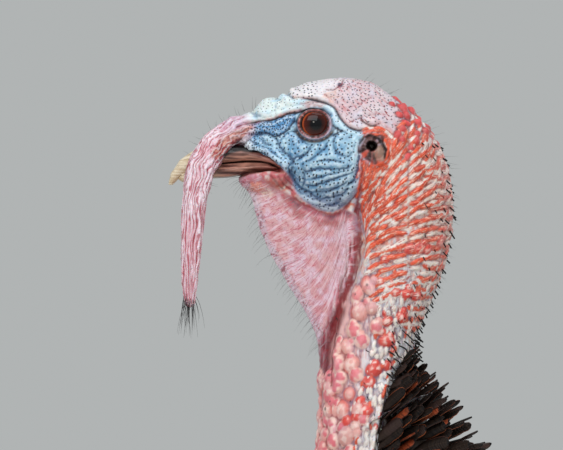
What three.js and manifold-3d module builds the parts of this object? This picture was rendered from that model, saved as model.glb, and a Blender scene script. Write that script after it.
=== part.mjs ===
// Wild turkey, adult male, standing with its neck drawn up and its snood hanging over the left of the bill.
// Millimetres. +Z is up, the bird faces -X, its left side is -Y. The exported group has its origin on the
// floor, under the middle of the bird's box. Inside the parts, x and z of the head and neck are measured
// from the line through both eyes, and z of the body from the floor.
import * as THREE from "three";
import { mergeVertices } from "three/addons/utils/BufferGeometryUtils.js";
import Module from "manifold-3d";

const wasm = await Module();
wasm.setup();

// ---- driving dimensions ----
const EYE_HEIGHT = 860; // eyes above the floor
const GAP = 0.3; // clearance between neighbouring pieces
const EYE = { radius: 8.6, side: 9.8, lift: 0.2 };
const EAR = { x: 27, z: -10.8, length: 9, height: 11.5, depth: 6, side: 17.5 };
const BREAST_X = -82; // foremost point of the breast
const RUMP_X = 500;
const HIP_Y = 74; // from the midline to the top of each drumstick
const HOCK = { x: 244, y: 66, z: 178 };
const FOOT = { x: 220, y: 68 };
const TOE = { middle: 66, side: 48, hind: 25, radius: 6.2, spread: 36 };
const CLAW = { length: 17, radius: 3.1 };
const TAIL = { length: 372, x: 470, z: 498, tip_z: 396, root_half: 46, tip_half: 84 };

// ---- mesh helpers ----
const v3 = (x, y, z) => new THREE.Vector3(x, y, z);

// A closed triangle mesh as a solid, turned to face outwards.
function solid(geometry) {
  const bare = geometry.clone();
  bare.deleteAttribute("normal");
  bare.deleteAttribute("uv");
  const merged = mergeVertices(bare, 1e-4);
  const corners = new Uint32Array(merged.index.array);
  const build = () =>
    new wasm.Manifold(
      new wasm.Mesh({
        numProp: 3,
        vertProperties: merged.attributes.position.array,
        triVerts: corners,
      }),
    );
  const made = build();
  if (made.volume() > 0) return made;
  for (let i = 0; i < corners.length; i += 3) {
    [corners[i], corners[i + 1]] = [corners[i + 1], corners[i]];
  }
  return build();
}

// A solid back as geometry that three.js can draw.
function geometryOf(made) {
  const mesh = made.getMesh();
  const step = mesh.numProp;
  const positions = new Float32Array(mesh.numVert * 3);
  for (let i = 0; i < mesh.numVert; i++) {
    positions.set(mesh.vertProperties.subarray(i * step, i * step + 3), i * 3);
  }
  const geometry = new THREE.BufferGeometry();
  geometry.setAttribute("position", new THREE.BufferAttribute(positions, 3));
  geometry.setIndex(new THREE.BufferAttribute(mesh.triVerts, 1));
  geometry.computeVertexNormals();
  return geometry;
}

// A smooth function through [position, value, value, ...] rows, which returns the values as an array.
function through(rows) {
  const slope = (i, k) => {
    const a = rows[Math.max(i - 1, 0)];
    const b = rows[Math.min(i + 1, rows.length - 1)];
    return (b[k] - a[k]) / (b[0] - a[0]);
  };
  return (s) => {
    let i = 0;
    while (i < rows.length - 2 && s > rows[i + 1][0]) i++;
    const width = rows[i + 1][0] - rows[i][0];
    const f = THREE.MathUtils.clamp((s - rows[i][0]) / width, 0, 1);
    const value = (k) => {
      const [p, q] = [rows[i][k], rows[i + 1][k]];
      const [m, n] = [slope(i, k) * width, slope(i + 1, k) * width];
      const [f2, f3] = [f * f, f * f * f];
      return (2 * f3 - 3 * f2 + 1) * p + (f3 - 2 * f2 + f) * m + (3 * f2 - 2 * f3) * q + (f3 - f2) * n;
    };
    return rows[0].slice(1).map((_, k) => value(k + 1));
  };
}

// A closed skin over rings. ring(t) gives the ring's centre and its half axes: u both ways, v for the
// first half of the turn and w for the second. The rings shrink to a point at t = 0 and t = 1.
function skinned(ring, around, along) {
  const ball = new THREE.SphereGeometry(1, around, along);
  const places = ball.attributes.position;
  const point = v3(0, 0, 0);
  for (let i = 0; i < places.count; i++) {
    point.fromBufferAttribute(places, i);
    const t = Math.acos(THREE.MathUtils.clamp(point.y, -1, 1)) / Math.PI;
    const turn = Math.atan2(point.z, point.x);
    const closed = t < 1e-4 || t > 1 - 1e-4;
    const { centre, u, v, w = v, shape = () => 1 } = ring(t);
    point.copy(centre);
    if (!closed) {
      const across = Math.cos(turn);
      const side = Math.sin(turn);
      point.addScaledVector(u, across).addScaledVector(side > 0 ? v : w, side * shape(across));
    }
    places.setXYZ(i, point.x, point.y, point.z);
  }
  return solid(ball);
}

// 1 in the middle of a part and round towards both of its ends.
const dome = (s, power) => Math.pow(Math.max(0, 1 - Math.pow(Math.abs(2 * s - 1), power)), 1 / power);
const eased = (t) => (1 - Math.cos(Math.PI * t)) / 2;

// Slices across X, each with a top, a bottom and a half width, from rows of [x, top, bottom, half].
function sliced(rows, { around, along, power = 4, grow = 0, lift = 0 }) {
  const at = through(rows);
  const [from, to] = [rows[0][0] - grow, rows[rows.length - 1][0] + grow];
  return skinned(
    (t) => {
      const s = eased(t);
      const x = from + (to - from) * s;
      const [top, bottom, half] = at(x);
      const round = dome(s, power);
      const middle = (top + bottom) / 2;
      return {
        centre: v3(x, 0, middle + lift),
        u: v3(0, half * round + grow, 0),
        v: v3(0, 0, (top - middle) * round + grow),
      };
    },
    around,
    along,
  );
}

// A round-ended tube along points. size(t) gives its half width across Y and its half height.
function tube(points, size, { around, along, power = 6, grow = 0 }) {
  const path = new THREE.CatmullRomCurve3(points);
  return skinned(
    (t) => {
      const s = eased(t);
      const ahead = path.getTangentAt(s);
      const sideways = v3(0, 1, 0).addScaledVector(ahead, -ahead.y).normalize();
      const upwards = v3(0, 0, 0).crossVectors(ahead, sideways).normalize();
      const [wide, high] = size(s);
      const round = dome(s, power);
      return {
        centre: path.getPointAt(s),
        u: sideways.multiplyScalar(wide * round + grow),
        v: upwards.multiplyScalar(high * round + grow),
      };
    },
    around,
    along,
  );
}

// A large box that fills the half space on the far side of a plane, for parting cuts.
function beyond(point, normal) {
  const REACH = 1500;
  const box = new THREE.BoxGeometry(REACH, REACH, REACH);
  box.translate(0, 0, REACH / 2);
  box.applyQuaternion(new THREE.Quaternion().setFromUnitVectors(v3(0, 0, 1), normal.clone().normalize()));
  box.translate(point.x, point.y, point.z);
  return solid(box);
}

const cutBy = (piece, ...others) => others.reduce((left, other) => left.subtract(other), piece);
// A cut can leave slivers on the far side of a neighbour: the piece is the largest body that is left.
const largest = (made) => made.decompose().sort((a, b) => b.volume() - a.volume())[0];
const mirrored = (points, side) => points.map(([x, y, z]) => v3(x, y * side, z));

// ---- head, neck and trunk, one flesh parted by thin cuts ----
// Rows of [x, top, bottom, half width] from the eye line.
const HEAD_ROWS = [
  [-37, 2.5, -11, 5],
  [-31, 6.2, -12, 7],
  [-23, 10.8, -15.2, 9.8],
  [-16, 12.8, -21, 12],
  [-8, 17.6, -29.5, 14.8],
  [0, 19.4, -35.5, 16.6],
  [13, 21, -39.5, 18.8],
  [26, 19, -39, 19.4],
  [39, 9.5, -34, 18.2],
  [51, -0.5, -28, 15],
  [59.6, -15.5, -25, 9],
];
const headFlesh = (grow = 0) =>
  sliced(HEAD_ROWS, { around: 20, along: 15, power: 5, grow, lift: EYE_HEIGHT });

// Rows of [drop below the eyes, front x, back x, half width], feathers included.
const NECK_ROWS = [
  [-12, 16, 38, 11],
  [5, 18, 51.5, 16.5],
  [20, 20, 60, 18.8],
  [38, 20, 62.6, 20],
  [57, 18.5, 60.2, 20],
  [73, 15, 55.2, 19.2],
  [89, 9.5, 48, 18],
  [102, 5.5, 43, 17.6],
  [113, 3.6, 44, 18.2],
  [125, 3.4, 54, 20.5],
  [136, 2.6, 67, 24],
  [148, 1.8, 79, 29],
  [165, 0, 98, 39],
  [188, -8, 126, 56],
  [215, -26, 168, 80],
  [245, -46, 208, 102],
  [285, -66, 236, 120],
  [345, -77, 244, 126],
];
function neckFlesh(grow = 0) {
  const at = through(NECK_ROWS);
  const [top, bottom] = [NECK_ROWS[0][0], NECK_ROWS[NECK_ROWS.length - 1][0]];
  return skinned(
    (t) => {
      const s = Math.pow(t, 1.25); // closer rings near the head
      const drop = top + (bottom - top) * s;
      const [front, back, half] = at(drop);
      const round = dome(s * 0.94 + 0.03, 9);
      return {
        centre: v3((front + back) / 2, 0, EYE_HEIGHT - drop),
        u: v3(((back - front) / 2) * round + grow, 0, 0),
        v: v3(0, half * round + grow, 0),
      };
    },
    20,
    21,
  );
}

// Rows of [x, top, bottom, half width] above the floor.
const TRUNK_ROWS = [
  [BREAST_X, 560, 455, 60],
  [-40, 590, 398, 96],
  [20, 618, 350, 128],
  [90, 636, 322, 145],
  [170, 637, 312, 150],
  [250, 626, 318, 146],
  [330, 604, 340, 130],
  [400, 577, 372, 105],
  [460, 548, 412, 78],
  [RUMP_X, 530, 440, 60],
];
const trunkFlesh = (grow = 0) => sliced(TRUNK_ROWS, { around: 20, along: 14, power: 5, grow });

const flesh = (grow = 0) => headFlesh(grow).add(neckFlesh(grow)).add(trunkFlesh(grow));

// Each parting plane: a point on it and its normal, which points down the body.
const PARTINGS = [
  { name: "head", point: v3(36, 0, EYE_HEIGHT - 22), normal: v3(0.69, 0, -0.72) },
  { name: "neck_upper", point: v3(30, 0, EYE_HEIGHT - 84), normal: v3(0.25, 0, -0.97) },
  { name: "neck_lower", point: v3(40, 0, EYE_HEIGHT - 146), normal: v3(0.45, 0, -0.89) },
  { name: "neck_base", point: v3(70, 0, EYE_HEIGHT - 238), normal: v3(0.3, 0, -0.95) },
];
function partedFlesh(whole) {
  const lengths = {};
  let rest = whole;
  for (const { name, point, normal } of PARTINGS) {
    const shifted = point.clone().addScaledVector(normal.clone().normalize(), GAP);
    lengths[name] = rest.subtract(beyond(point, normal));
    rest = rest.intersect(beyond(shifted, normal));
  }
  lengths.trunk = rest;
  return lengths;
}

// ---- eyes and ears ----
function eyeball(side, grow = 0) {
  const ball = new THREE.SphereGeometry(EYE.radius + grow, 12, 8);
  ball.translate(0, side * EYE.side, EYE_HEIGHT + EYE.lift);
  return solid(ball);
}

// The ring of stiff ear coverts round the ear opening, let into the side of the head.
function earPlug(side, grow = 0) {
  const plug = new THREE.SphereGeometry(1, 8, 6);
  plug.scale(EAR.length / 2 + grow, EAR.depth / 2 + grow, EAR.height / 2 + grow);
  plug.translate(EAR.x, side * EAR.side, EYE_HEIGHT + EAR.z);
  return solid(plug);
}

// ---- bill ----
const UPPER_BILL_ROWS = [
  [-65.2, -25.8, -28, 0.9],
  [-63, -20.2, -26.4, 1.9],
  [-59.5, -15.8, -22.6, 3],
  [-54, -12.2, -19.6, 4.4],
  [-45, -9.2, -18.2, 5.8],
  [-36, -8.8, -17, 7],
  [-27, -11, -16.6, 8.4],
  [-20, -14.6, -17.6, 9.8],
  [-13.5, -18.6, -21.4, 11],
];
const LOWER_BILL_ROWS = [
  [-61, -23, -25.6, 1.8],
  [-55, -20.5, -25.4, 3.6],
  [-45, -18.4, -23.8, 5],
  [-35, -17.4, -23.4, 6.5],
  [-28, -17, -22, 7.8],
  [-20, -17.8, -20.9, 9.4],
  [-13.5, -21.4, -23, 10.6],
];
const upperBill = (grow = 0) =>
  sliced(UPPER_BILL_ROWS, { around: 10, along: 10, power: 14, grow, lift: EYE_HEIGHT });
const lowerBill = (grow = 0) =>
  sliced(LOWER_BILL_ROWS, { around: 8, along: 8, power: 10, grow, lift: EYE_HEIGHT });

// ---- snood: from the forehead over the bill, then down its left side ----
const SNOOD_POINTS = [
  [-14, 0, 7],
  [-24, -0.5, 4.5],
  [-32, -1.4, 0],
  [-39, -2.6, -4.7],
  [-45, -5.2, -10],
  [-50, -8.6, -17],
  [-52.4, -10.8, -26],
  [-53.7, -11.6, -36],
  [-54.8, -11.6, -52],
  [-55.6, -11.3, -67],
  [-55.7, -10.9, -83],
];
// Rows of [share of the length, half width across the bird, half width along it].
const SNOOD_SIZES = [
  [0, 5.5, 5.5],
  [0.18, 5.8, 5.3],
  [0.28, 5.8, 6.6],
  [0.4, 5, 7.1],
  [0.49, 4.7, 6.2],
  [0.58, 4.4, 5.5],
  [0.72, 4, 4.9],
  [0.86, 3.4, 3.9],
  [1, 2.4, 2.6],
];
const snoodFlesh = (grow = 0) =>
  tube(
    SNOOD_POINTS.map(([x, y, z]) => v3(x, y, EYE_HEIGHT + z)),
    through(SNOOD_SIZES),
    { around: 10, along: 13, power: 10, grow },
  );

// ---- dewlap: a wedge of skin from the chin to the throat ----
// Rows of [drop, front x, rear x, half thickness at the rear].
const DEWLAP_ROWS = [
  [16, -38, 8, 8],
  [23.5, -35, 11.5, 11],
  [26.5, -31.6, 14, 12],
  [33, -28.6, 18.5, 13.5],
  [41, -26.8, 24, 15],
  [54, -22.4, 25, 12.5],
  [68, -14.6, 23, 10],
  [82, -6, 19, 8.2],
  [94, 1.2, 14, 7],
  [104, 2.6, 10.5, 6],
  [115, 2.8, 8, 4],
];
const DEWLAP_EDGE = 0.24; // thickness of the free front edge, as a share of the rear's
function dewlapFlesh() {
  const at = through(DEWLAP_ROWS);
  const [top, bottom] = [DEWLAP_ROWS[0][0], DEWLAP_ROWS[DEWLAP_ROWS.length - 1][0]];
  return skinned(
    (t) => {
      const drop = top + (bottom - top) * eased(t);
      const [front, rear, half] = at(drop);
      const round = dome(eased(t), 12);
      return {
        centre: v3((front + rear) / 2, 0, EYE_HEIGHT - drop),
        u: v3(((rear - front) / 2) * round, 0, 0),
        v: v3(0, half * round, 0),
        shape: (across) => DEWLAP_EDGE + ((1 - DEWLAP_EDGE) * (1 + across)) / 2,
      };
    },
    10,
    11,
  );
}

// ---- beard: a hank of bristles from the middle of the breast ----
const BEARD_POINTS = [
  [-66, 0, 520],
  [-88, 0, 488],
  [-96, 0, 430],
  [-95, 0, 360],
  [-88, 0, 296],
];
const beardHank = () =>
  tube(mirrored(BEARD_POINTS, 1), through([[0, 6, 5], [0.4, 8, 5.5], [0.8, 7, 4.2], [1, 3.4, 2.4]]), {
    around: 8,
    along: 7,
    power: 9,
  });

// ---- folded wings ----
// Rows of [x, middle z, middle y, half height, half thickness, lean of the top towards the back's midline].
const WING_ROWS = [
  [-14, 500, 84, 46, 22, 6],
  [50, 492, 108, 84, 36, 16],
  [130, 486, 120, 104, 44, 26],
  [220, 480, 120, 106, 44, 30],
  [310, 472, 108, 92, 40, 30],
  [390, 462, 88, 70, 33, 24],
  [460, 450, 68, 46, 24, 14],
  [530, 436, 52, 27, 13, 6],
  [588, 424, 44, 13, 6, 2],
];
const WING_PARTING = { x: 372, z: 470, lean: 0.45 }; // coverts and secondaries end, primaries go on
function wingFold(side, grow = 0) {
  const at = through(WING_ROWS);
  const [front, back] = [WING_ROWS[0][0] - grow, WING_ROWS[WING_ROWS.length - 1][0] + grow];
  return skinned(
    (t) => {
      const s = eased(t);
      const x = front + (back - front) * s;
      const [z, y, high, thick, lean] = at(x);
      const round = dome(s, 7);
      return {
        centre: v3(x, side * y, z),
        u: v3(0, -side * lean * round, high * round + grow),
        v: v3(0, side * (thick * round + grow), 0),
      };
    },
    14,
    11,
  );
}

// ---- legs ----
const drumstick = (side, grow = 0) =>
  tube(
    mirrored([[160, HIP_Y, 410], [170, HIP_Y, 335], [200, 71, 262], [229, 67, 214], [HOCK.x, HOCK.y, 188]], side),
    through([[0, 38, 60], [0.35, 34, 54], [0.62, 23, 35], [0.85, 13, 18], [1, 9, 11]]),
    { around: 12, along: 8, power: 8, grow },
  );

const shank = (side, grow = 0) =>
  tube(
    mirrored([[HOCK.x, HOCK.y, HOCK.z + 14], [HOCK.x - 1, HOCK.y, HOCK.z - 6],
      [236, 66.5, 120], [227, 67.5, 55], [FOOT.x, FOOT.y, 12]], side),
    through([[0, 9, 10], [0.12, 9.6, 11.5], [0.25, 6.6, 8.2], [0.75, 6.4, 7.6], [0.93, 10, 10.5], [1, 12, 11]]),
    { around: 10, along: 12, power: 7, grow },
  );

const spur = (side) =>
  tube(
    mirrored([[230, 63, 84], [243, 59.5, 85], [255, 57, 91]], side),
    through([[0, 5.4, 5.6], [0.5, 3.6, 3.8], [1, 0.9, 1]]),
    { around: 6, along: 5, power: 14 },
  );

// Each toe: its heading in degrees from straight ahead, its length and how high its root starts.
const TOES = [
  { name: "inner", heading: -TOE.spread, length: TOE.side, root: 8 },
  { name: "middle", heading: 0, length: TOE.middle, root: 8 },
  { name: "outer", heading: TOE.spread, length: TOE.side + 3, root: 8 },
  { name: "hind", heading: 196, length: TOE.hind, root: 15 },
];
function toeLine({ heading, length, root }, side) {
  const angle = THREE.MathUtils.degToRad(heading);
  const ahead = v3(-Math.cos(angle), side * Math.sin(angle), 0);
  const at = (along, height) =>
    v3(FOOT.x, side * FOOT.y, height).addScaledVector(ahead, along);
  return { ahead, at, root, length };
}
function toe(line, grow = 0) {
  const { at, root, length } = line;
  const [start, end] = [4, length + 8];
  const size = (s) => {
    const pads = 0.5 * Math.cos(s * Math.PI * 6);
    return [TOE.radius - 1.6 * s + pads, TOE.radius - 1.6 * s + pads];
  };
  const points = [at(start, root), at(start + (end - start) * 0.35, 4.9), at(end * 0.7, 4.2), at(end, 3.6)];
  return tube(points, size, { around: 8, along: 6, power: 5, grow });
}
function claw(line) {
  const { at, length } = line;
  const base = length + 3;
  const points = [at(base, 4.8), at(base + CLAW.length * 0.6, 5.4), at(base + CLAW.length, 1.8)];
  return tube(points, through([[0, CLAW.radius, CLAW.radius], [0.5, 2.5, 2.6], [1, 0.7, 0.8]]), {
    around: 6,
    along: 4,
    power: 14,
  });
}

// ---- tail: the closed fan, with the coverts above and below its root ----
// share of the length, half width, half thickness and arch of the fan's edges downwards.
const TAIL_ROWS = [
  [0, TAIL.root_half, 15, 4],
  [0.35, 54, 13, 9],
  [0.7, 68, 8.5, 14],
  [0.92, TAIL.tip_half, 5, 18],
  [1, 78, 4, 18],
];
function tailSheet(rows, from, to, rise, around, along, grow = 0) {
  const at = through(rows);
  return skinned(
    (t) => {
      const s = eased(t);
      const [half, thick, arch] = at(s);
      const round = dome(s, 9);
      const share = from + (to - from) * s;
      const x = TAIL.x + TAIL.length * share;
      const z = TAIL.z + (TAIL.tip_z - TAIL.z) * Math.pow(Math.max(0, share), 1.1) + rise * (1 - s);
      return {
        centre: v3(x, 0, z),
        u: v3(0, half * round + grow, 0),
        v: v3(0, 0, thick * round + grow),
        w: v3(0, 0, (thick + arch) * round + grow),
      };
    },
    around,
    along,
  );
}
const tailFan = (grow = 0) => tailSheet(TAIL_ROWS, -0.06, 1, 0, 14, 8, grow);
const upperCoverts = () => tailSheet([[0, 62, 26, 0], [0.5, 54, 19, 0], [1, 40, 9, 0]], -0.12, 0.5, 16, 12, 7);
const underCoverts = () => tailSheet([[0, 60, 16, 30], [0.5, 46, 10, 22], [1, 30, 5, 8]], -0.14, 0.34, -14, 12, 6);

// ---- colours ----
const finish = (color, roughness) => new THREE.MeshStandardMaterial({ color, roughness, metalness: 0 });
const MATERIALS = {
  face: finish(0x9cc4de, 0.6),
  red: finish(0xd98a7c, 0.6),
  wattle: finish(0xe3b3b4, 0.65),
  horn: finish(0xcdb69a, 0.45),
  eye: finish(0x2a120b, 0.1),
  plumage: finish(0x3a2a20, 0.5),
  flight: finish(0x6b5d50, 0.6),
  tail: finish(0x7a5233, 0.6),
  bristle: finish(0x17130f, 0.7),
  shank: finish(0xb06c66, 0.55),
  claw: finish(0x3f332c, 0.45),
};

// ---- the whole bird ----
const turkey = new THREE.Group();
const bird = new THREE.Group();
turkey.add(bird);
function addPiece(name, made, material) {
  const mesh = new THREE.Mesh(geometryOf(largest(made)), MATERIALS[material]);
  mesh.name = name;
  bird.add(mesh);
}

const SIDES = [
  ["left", -1],
  ["right", 1],
];
const floor = beyond(v3(0, 0, 0), v3(0, 0, -1));
const fleshGrown = flesh(GAP);
const headGrown = headFlesh(GAP);

const lengths = partedFlesh(
  cutBy(flesh(), ...SIDES.flatMap(([, side]) => [eyeball(side, GAP), earPlug(side, GAP)])),
);
addPiece("head", lengths.head, "face");
addPiece("neck_upper", lengths.neck_upper, "red");
addPiece("neck_lower", lengths.neck_lower, "red");
addPiece("neck_base", lengths.neck_base, "plumage");
addPiece("trunk", lengths.trunk, "plumage");

const upper = upperBill().subtract(headGrown);
const lower = cutBy(lowerBill(), headGrown, upperBill(GAP));
addPiece("bill_upper", upper, "horn");
addPiece("bill_lower", lower, "horn");
addPiece("snood", cutBy(snoodFlesh(), headGrown, upperBill(GAP), lowerBill(GAP)), "wattle");
addPiece("dewlap", cutBy(dewlapFlesh(), fleshGrown, upperBill(GAP), lowerBill(GAP)), "wattle");
addPiece("beard", beardHank().subtract(fleshGrown), "bristle");

const besideTail = [fleshGrown, tailFan(GAP), ...SIDES.map(([, side]) => wingFold(side, GAP))];
addPiece("tail", tailFan().subtract(fleshGrown), "tail");
addPiece("tail_coverts_upper", cutBy(upperCoverts(), ...besideTail), "plumage");
addPiece("tail_coverts_under", cutBy(underCoverts(), ...besideTail), "plumage");

for (const [label, side] of SIDES) {
  addPiece(`eye_${label}`, eyeball(side), "eye");
  addPiece(`ear_${label}`, earPlug(side), "face");

  const wing = cutBy(wingFold(side), fleshGrown, tailFan(GAP), drumstick(side, GAP));
  const normal = v3(1, 0, -WING_PARTING.lean).normalize();
  const point = v3(WING_PARTING.x, 0, WING_PARTING.z);
  addPiece(`wing_${label}`, wing.subtract(beyond(point, normal)), "plumage");
  const past = point.clone().addScaledVector(normal, GAP);
  addPiece(`primaries_${label}`, wing.intersect(beyond(past, normal)), "flight");

  addPiece(`thigh_${label}`, drumstick(side).subtract(fleshGrown), "plumage");
  const shankWhole = cutBy(shank(side), drumstick(side, GAP), floor);
  addPiece(`shank_${label}`, shankWhole, "shank");
  addPiece(`spur_${label}`, spur(side).subtract(shank(side, GAP)), "claw");

  const before = [shank(side, GAP)];
  for (const form of TOES) {
    const line = toeLine(form, side);
    addPiece(`toe_${label}_${form.name}`, cutBy(toe(line), ...before, floor), "shank");
    addPiece(`claw_${label}_${form.name}`, cutBy(claw(line), toe(line, GAP), floor), "claw");
    before.push(toe(line, GAP));
  }
}

// The origin goes on the floor, under the middle of the box.
const box = new THREE.Box3().setFromObject(bird);
bird.position.set(-(box.min.x + box.max.x) / 2, -(box.min.y + box.max.y) / 2, -box.min.z);

export default turkey;
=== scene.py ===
# A still, life-size adult male wild turkey. Skin, bill, eyes, claws and feathers are built around the
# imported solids. Places on the head are millimetres from the eye line, x negative towards the bill, z up.
import math

import bmesh
import bpy
import numpy as np
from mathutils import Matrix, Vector
from mathutils.bvhtree import BVHTree


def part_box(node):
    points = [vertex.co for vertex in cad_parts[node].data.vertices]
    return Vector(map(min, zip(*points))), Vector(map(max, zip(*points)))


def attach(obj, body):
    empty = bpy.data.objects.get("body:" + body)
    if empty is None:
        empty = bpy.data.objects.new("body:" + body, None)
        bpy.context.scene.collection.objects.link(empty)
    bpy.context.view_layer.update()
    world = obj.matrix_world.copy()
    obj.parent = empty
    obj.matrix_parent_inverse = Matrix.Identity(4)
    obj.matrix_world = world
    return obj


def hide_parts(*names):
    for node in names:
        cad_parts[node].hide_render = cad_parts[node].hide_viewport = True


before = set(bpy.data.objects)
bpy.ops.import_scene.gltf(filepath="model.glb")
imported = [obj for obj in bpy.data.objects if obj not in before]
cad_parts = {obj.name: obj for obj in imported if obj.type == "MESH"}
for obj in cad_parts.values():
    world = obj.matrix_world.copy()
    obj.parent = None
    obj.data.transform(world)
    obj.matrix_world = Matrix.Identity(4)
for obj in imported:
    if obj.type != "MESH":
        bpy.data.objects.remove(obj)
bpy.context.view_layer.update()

MM = 0.001
SIDES = (("left", -1.0), ("right", 1.0))
# The kind and the field of a mesh's attribute, by how many numbers it has.
FIELD_KINDS = {1: ("FLOAT", "value"), 3: ("FLOAT_VECTOR", "vector"), 4: ("FLOAT_COLOR", "color")}

left_low, left_high = (np.array(corner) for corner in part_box("eye_left"))
right_low, right_high = (np.array(corner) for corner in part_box("eye_right"))
EYE = (left_low + left_high + right_low + right_high) / 4
EYE_RADIUS = float(left_high[2] - left_low[2]) / 2 / MM
EYE_SIDE = float(right_low[1] + right_high[1]) / 2 / MM


# ---- arrays and meshes ----
def unit(vectors):
    """Vectors of length 1 with the same headings."""
    return vectors / np.maximum(np.linalg.norm(vectors, axis=-1, keepdims=True), 1e-9)


def along_surface(headings, facing):
    """Headings less what they have of the direction that the surface faces."""
    return headings - facing * np.sum(headings * facing, axis=-1, keepdims=True)


def repeated(row, count):
    """The same row for each of a number of things."""
    return np.tile(row, (count, 1))


def read(items, field, width=1, kind=np.float32):
    """One field of every item, as an array with a row for each item if the field is wider than 1."""
    flat = np.empty(len(items) * width, kind)
    items.foreach_get(field, flat)
    return flat.reshape(-1, width) if width > 1 else flat


def points(mesh):
    return read(mesh.vertices, "co", 3).astype(np.float64)


def normals(mesh):
    return read(mesh.vertex_normals, "vector", 3).astype(np.float64)


def set_points(mesh, places):
    mesh.vertices.foreach_set("co", places.astype(np.float32).ravel())
    mesh.update()


def new_mesh(name, places, faces):
    """A mesh from an array of points and an array of faces that all have the same number of corners."""
    mesh = bpy.data.meshes.new(name)
    faces = np.asarray(faces, np.int32)
    count, corners = faces.shape
    mesh.vertices.add(len(places))
    mesh.vertices.foreach_set("co", np.asarray(places, np.float32).ravel())
    mesh.loops.add(count * corners)
    mesh.loops.foreach_set("vertex_index", faces.ravel())
    mesh.polygons.add(count)
    mesh.polygons.foreach_set("loop_start", np.arange(0, count * corners, corners, dtype=np.int32))
    mesh.update(calc_edges=True)
    mesh.shade_smooth()
    return mesh


def new_object(name, data):
    """A new object in the scene."""
    thing = bpy.data.objects.new(name, data)
    bpy.context.scene.collection.objects.link(thing)
    return thing


def new_piece(name, mesh, material, replaces=()):
    """A finished piece of the bird, which rides on its one body."""
    piece = new_object(name, mesh)
    mesh.materials.clear()
    mesh.materials.append(material)
    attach(piece, "root")
    if replaces:
        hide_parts(*replaces)


def attribute(mesh, name, values):
    """One value, one vector or one colour for each point of a mesh."""
    values = np.asarray(values, np.float32)
    width = 1 if values.ndim == 1 else values.shape[1]
    kind, field = FIELD_KINDS[width]
    mesh.attributes.new(name, kind, "POINT").data.foreach_set(field, values.ravel())


def colour_attribute(mesh, name, colours):
    """An opaque colour for each point of a mesh."""
    attribute(mesh, name, np.concatenate([colours, np.ones((len(colours), 1))], 1))


def joined(name, parts):
    """One mesh from several (points, faces) pairs, each with triangles."""
    places, faces, start = [], [], 0
    for corner_places, corner_faces in parts:
        places.append(corner_places)
        faces.append(np.asarray(corner_faces) + start)
        start += len(corner_places)
    return new_mesh(name, np.concatenate(places), np.concatenate(faces))


def flesh_of(node, grow=0.0, cuts=()):
    """A CAD node's closed surface as points and triangles, moved outwards by grow metres.

    Each cut is a point and a direction: what lies past the point in that direction is cut away.
    """
    work = bmesh.new()
    work.from_mesh(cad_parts[node].data)
    bmesh.ops.remove_doubles(work, verts=work.verts, dist=1e-6)
    for spot, away in cuts:
        everything = list(work.verts) + list(work.edges) + list(work.faces)
        bmesh.ops.bisect_plane(work, geom=everything, plane_co=spot, plane_no=away, clear_outer=True)
        bmesh.ops.holes_fill(work, edges=[edge for edge in work.edges if edge.is_boundary])
    bmesh.ops.triangulate(work, faces=work.faces)
    work.normal_update()
    places = np.array([vert.co + vert.normal * grow for vert in work.verts])
    work.verts.index_update()
    faces = np.array([[vert.index for vert in face.verts] for face in work.faces])
    work.free()
    return places, faces


def evaluated(carrier):
    """The mesh that an object's modifiers make."""
    graph = bpy.context.evaluated_depsgraph_get()
    return bpy.data.meshes.new_from_object(carrier.evaluated_get(graph))


def remeshed(mesh, voxel):
    """The union of closed surfaces as one even skin."""
    carrier = new_object("remesh_carrier", mesh)
    modifier = carrier.modifiers.new("voxels", "REMESH")
    modifier.mode = "VOXEL"
    modifier.voxel_size = voxel
    modifier.use_smooth_shade = True
    result = evaluated(carrier)
    bpy.data.objects.remove(carrier)
    bpy.data.meshes.remove(mesh)
    return result


def edges_of(mesh):
    return read(mesh.edges, "vertices", 2, np.int32)


def smoothed(places, pairs, times, strength=0.5):
    """Places eased towards the mean of their neighbours."""
    a = np.concatenate([pairs[:, 0], pairs[:, 1]])
    b = np.concatenate([pairs[:, 1], pairs[:, 0]])
    total = len(places)
    around = np.maximum(np.bincount(a, minlength=total), 1)[:, None]
    for _ in range(times):
        mean = np.stack([np.bincount(a, places[b, k], total) for k in range(3)], 1) / around
        places = places + (mean - places) * strength
    return places


# ---- noise and falloffs ----
def step(low, high, values):
    """0 below low, 1 above high, smooth between them."""
    t = np.clip((values - low) / (high - low), 0, 1)
    return t * t * (3 - 2 * t)


def hump(values, middle, width):
    """1 where the values are at the middle, fading to 0 within about two widths of it."""
    return np.exp(-((values - middle) / width) ** 2)


def dab(x, z, middle, halves):
    """1 at the middle of an oval in the side view, fading to 0 past its half length and half height."""
    return np.exp(-(((x - middle[0]) / halves[0]) ** 2 + ((z - middle[1]) / halves[1]) ** 2))


def on_tube(along, angle, radius):
    """Places on an even tube, so that noise on them runs along it and closes round it."""
    return np.stack([along, np.cos(angle) * radius, np.sin(angle) * radius], 1)


def lattice(cells, seed):
    """A repeatable value from 0 to 1 for each whole-number cell."""
    x, y, z = (cells[..., k].astype(np.int64) for k in range(3))
    n = (x * 73856093) ^ (y * 19349663) ^ (z * 83492791) ^ (seed * 2654435761)
    n = (n ^ (n >> 13)) * 1274126177
    n = n & 0x7FFFFFFF
    n = ((n ^ (n >> 15)) * 40503) & 0x7FFFFFFF
    return (n & 0xFFFF) / 65535.0


def noise(places, size, seed=0):
    """Smooth noise from -1 to 1 with features about size across, which may differ from axis to axis."""
    scaled = np.asarray(places) / size
    cell = np.floor(scaled)
    t = scaled - cell
    t = t * t * (3 - 2 * t)
    total = 0
    for corner in np.ndindex(2, 2, 2):
        share = np.prod(np.where(np.array(corner) == 1, t, 1 - t), axis=-1)
        total = total + share * lattice(cell + np.array(corner), seed)
    return total * 2 - 1


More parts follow.
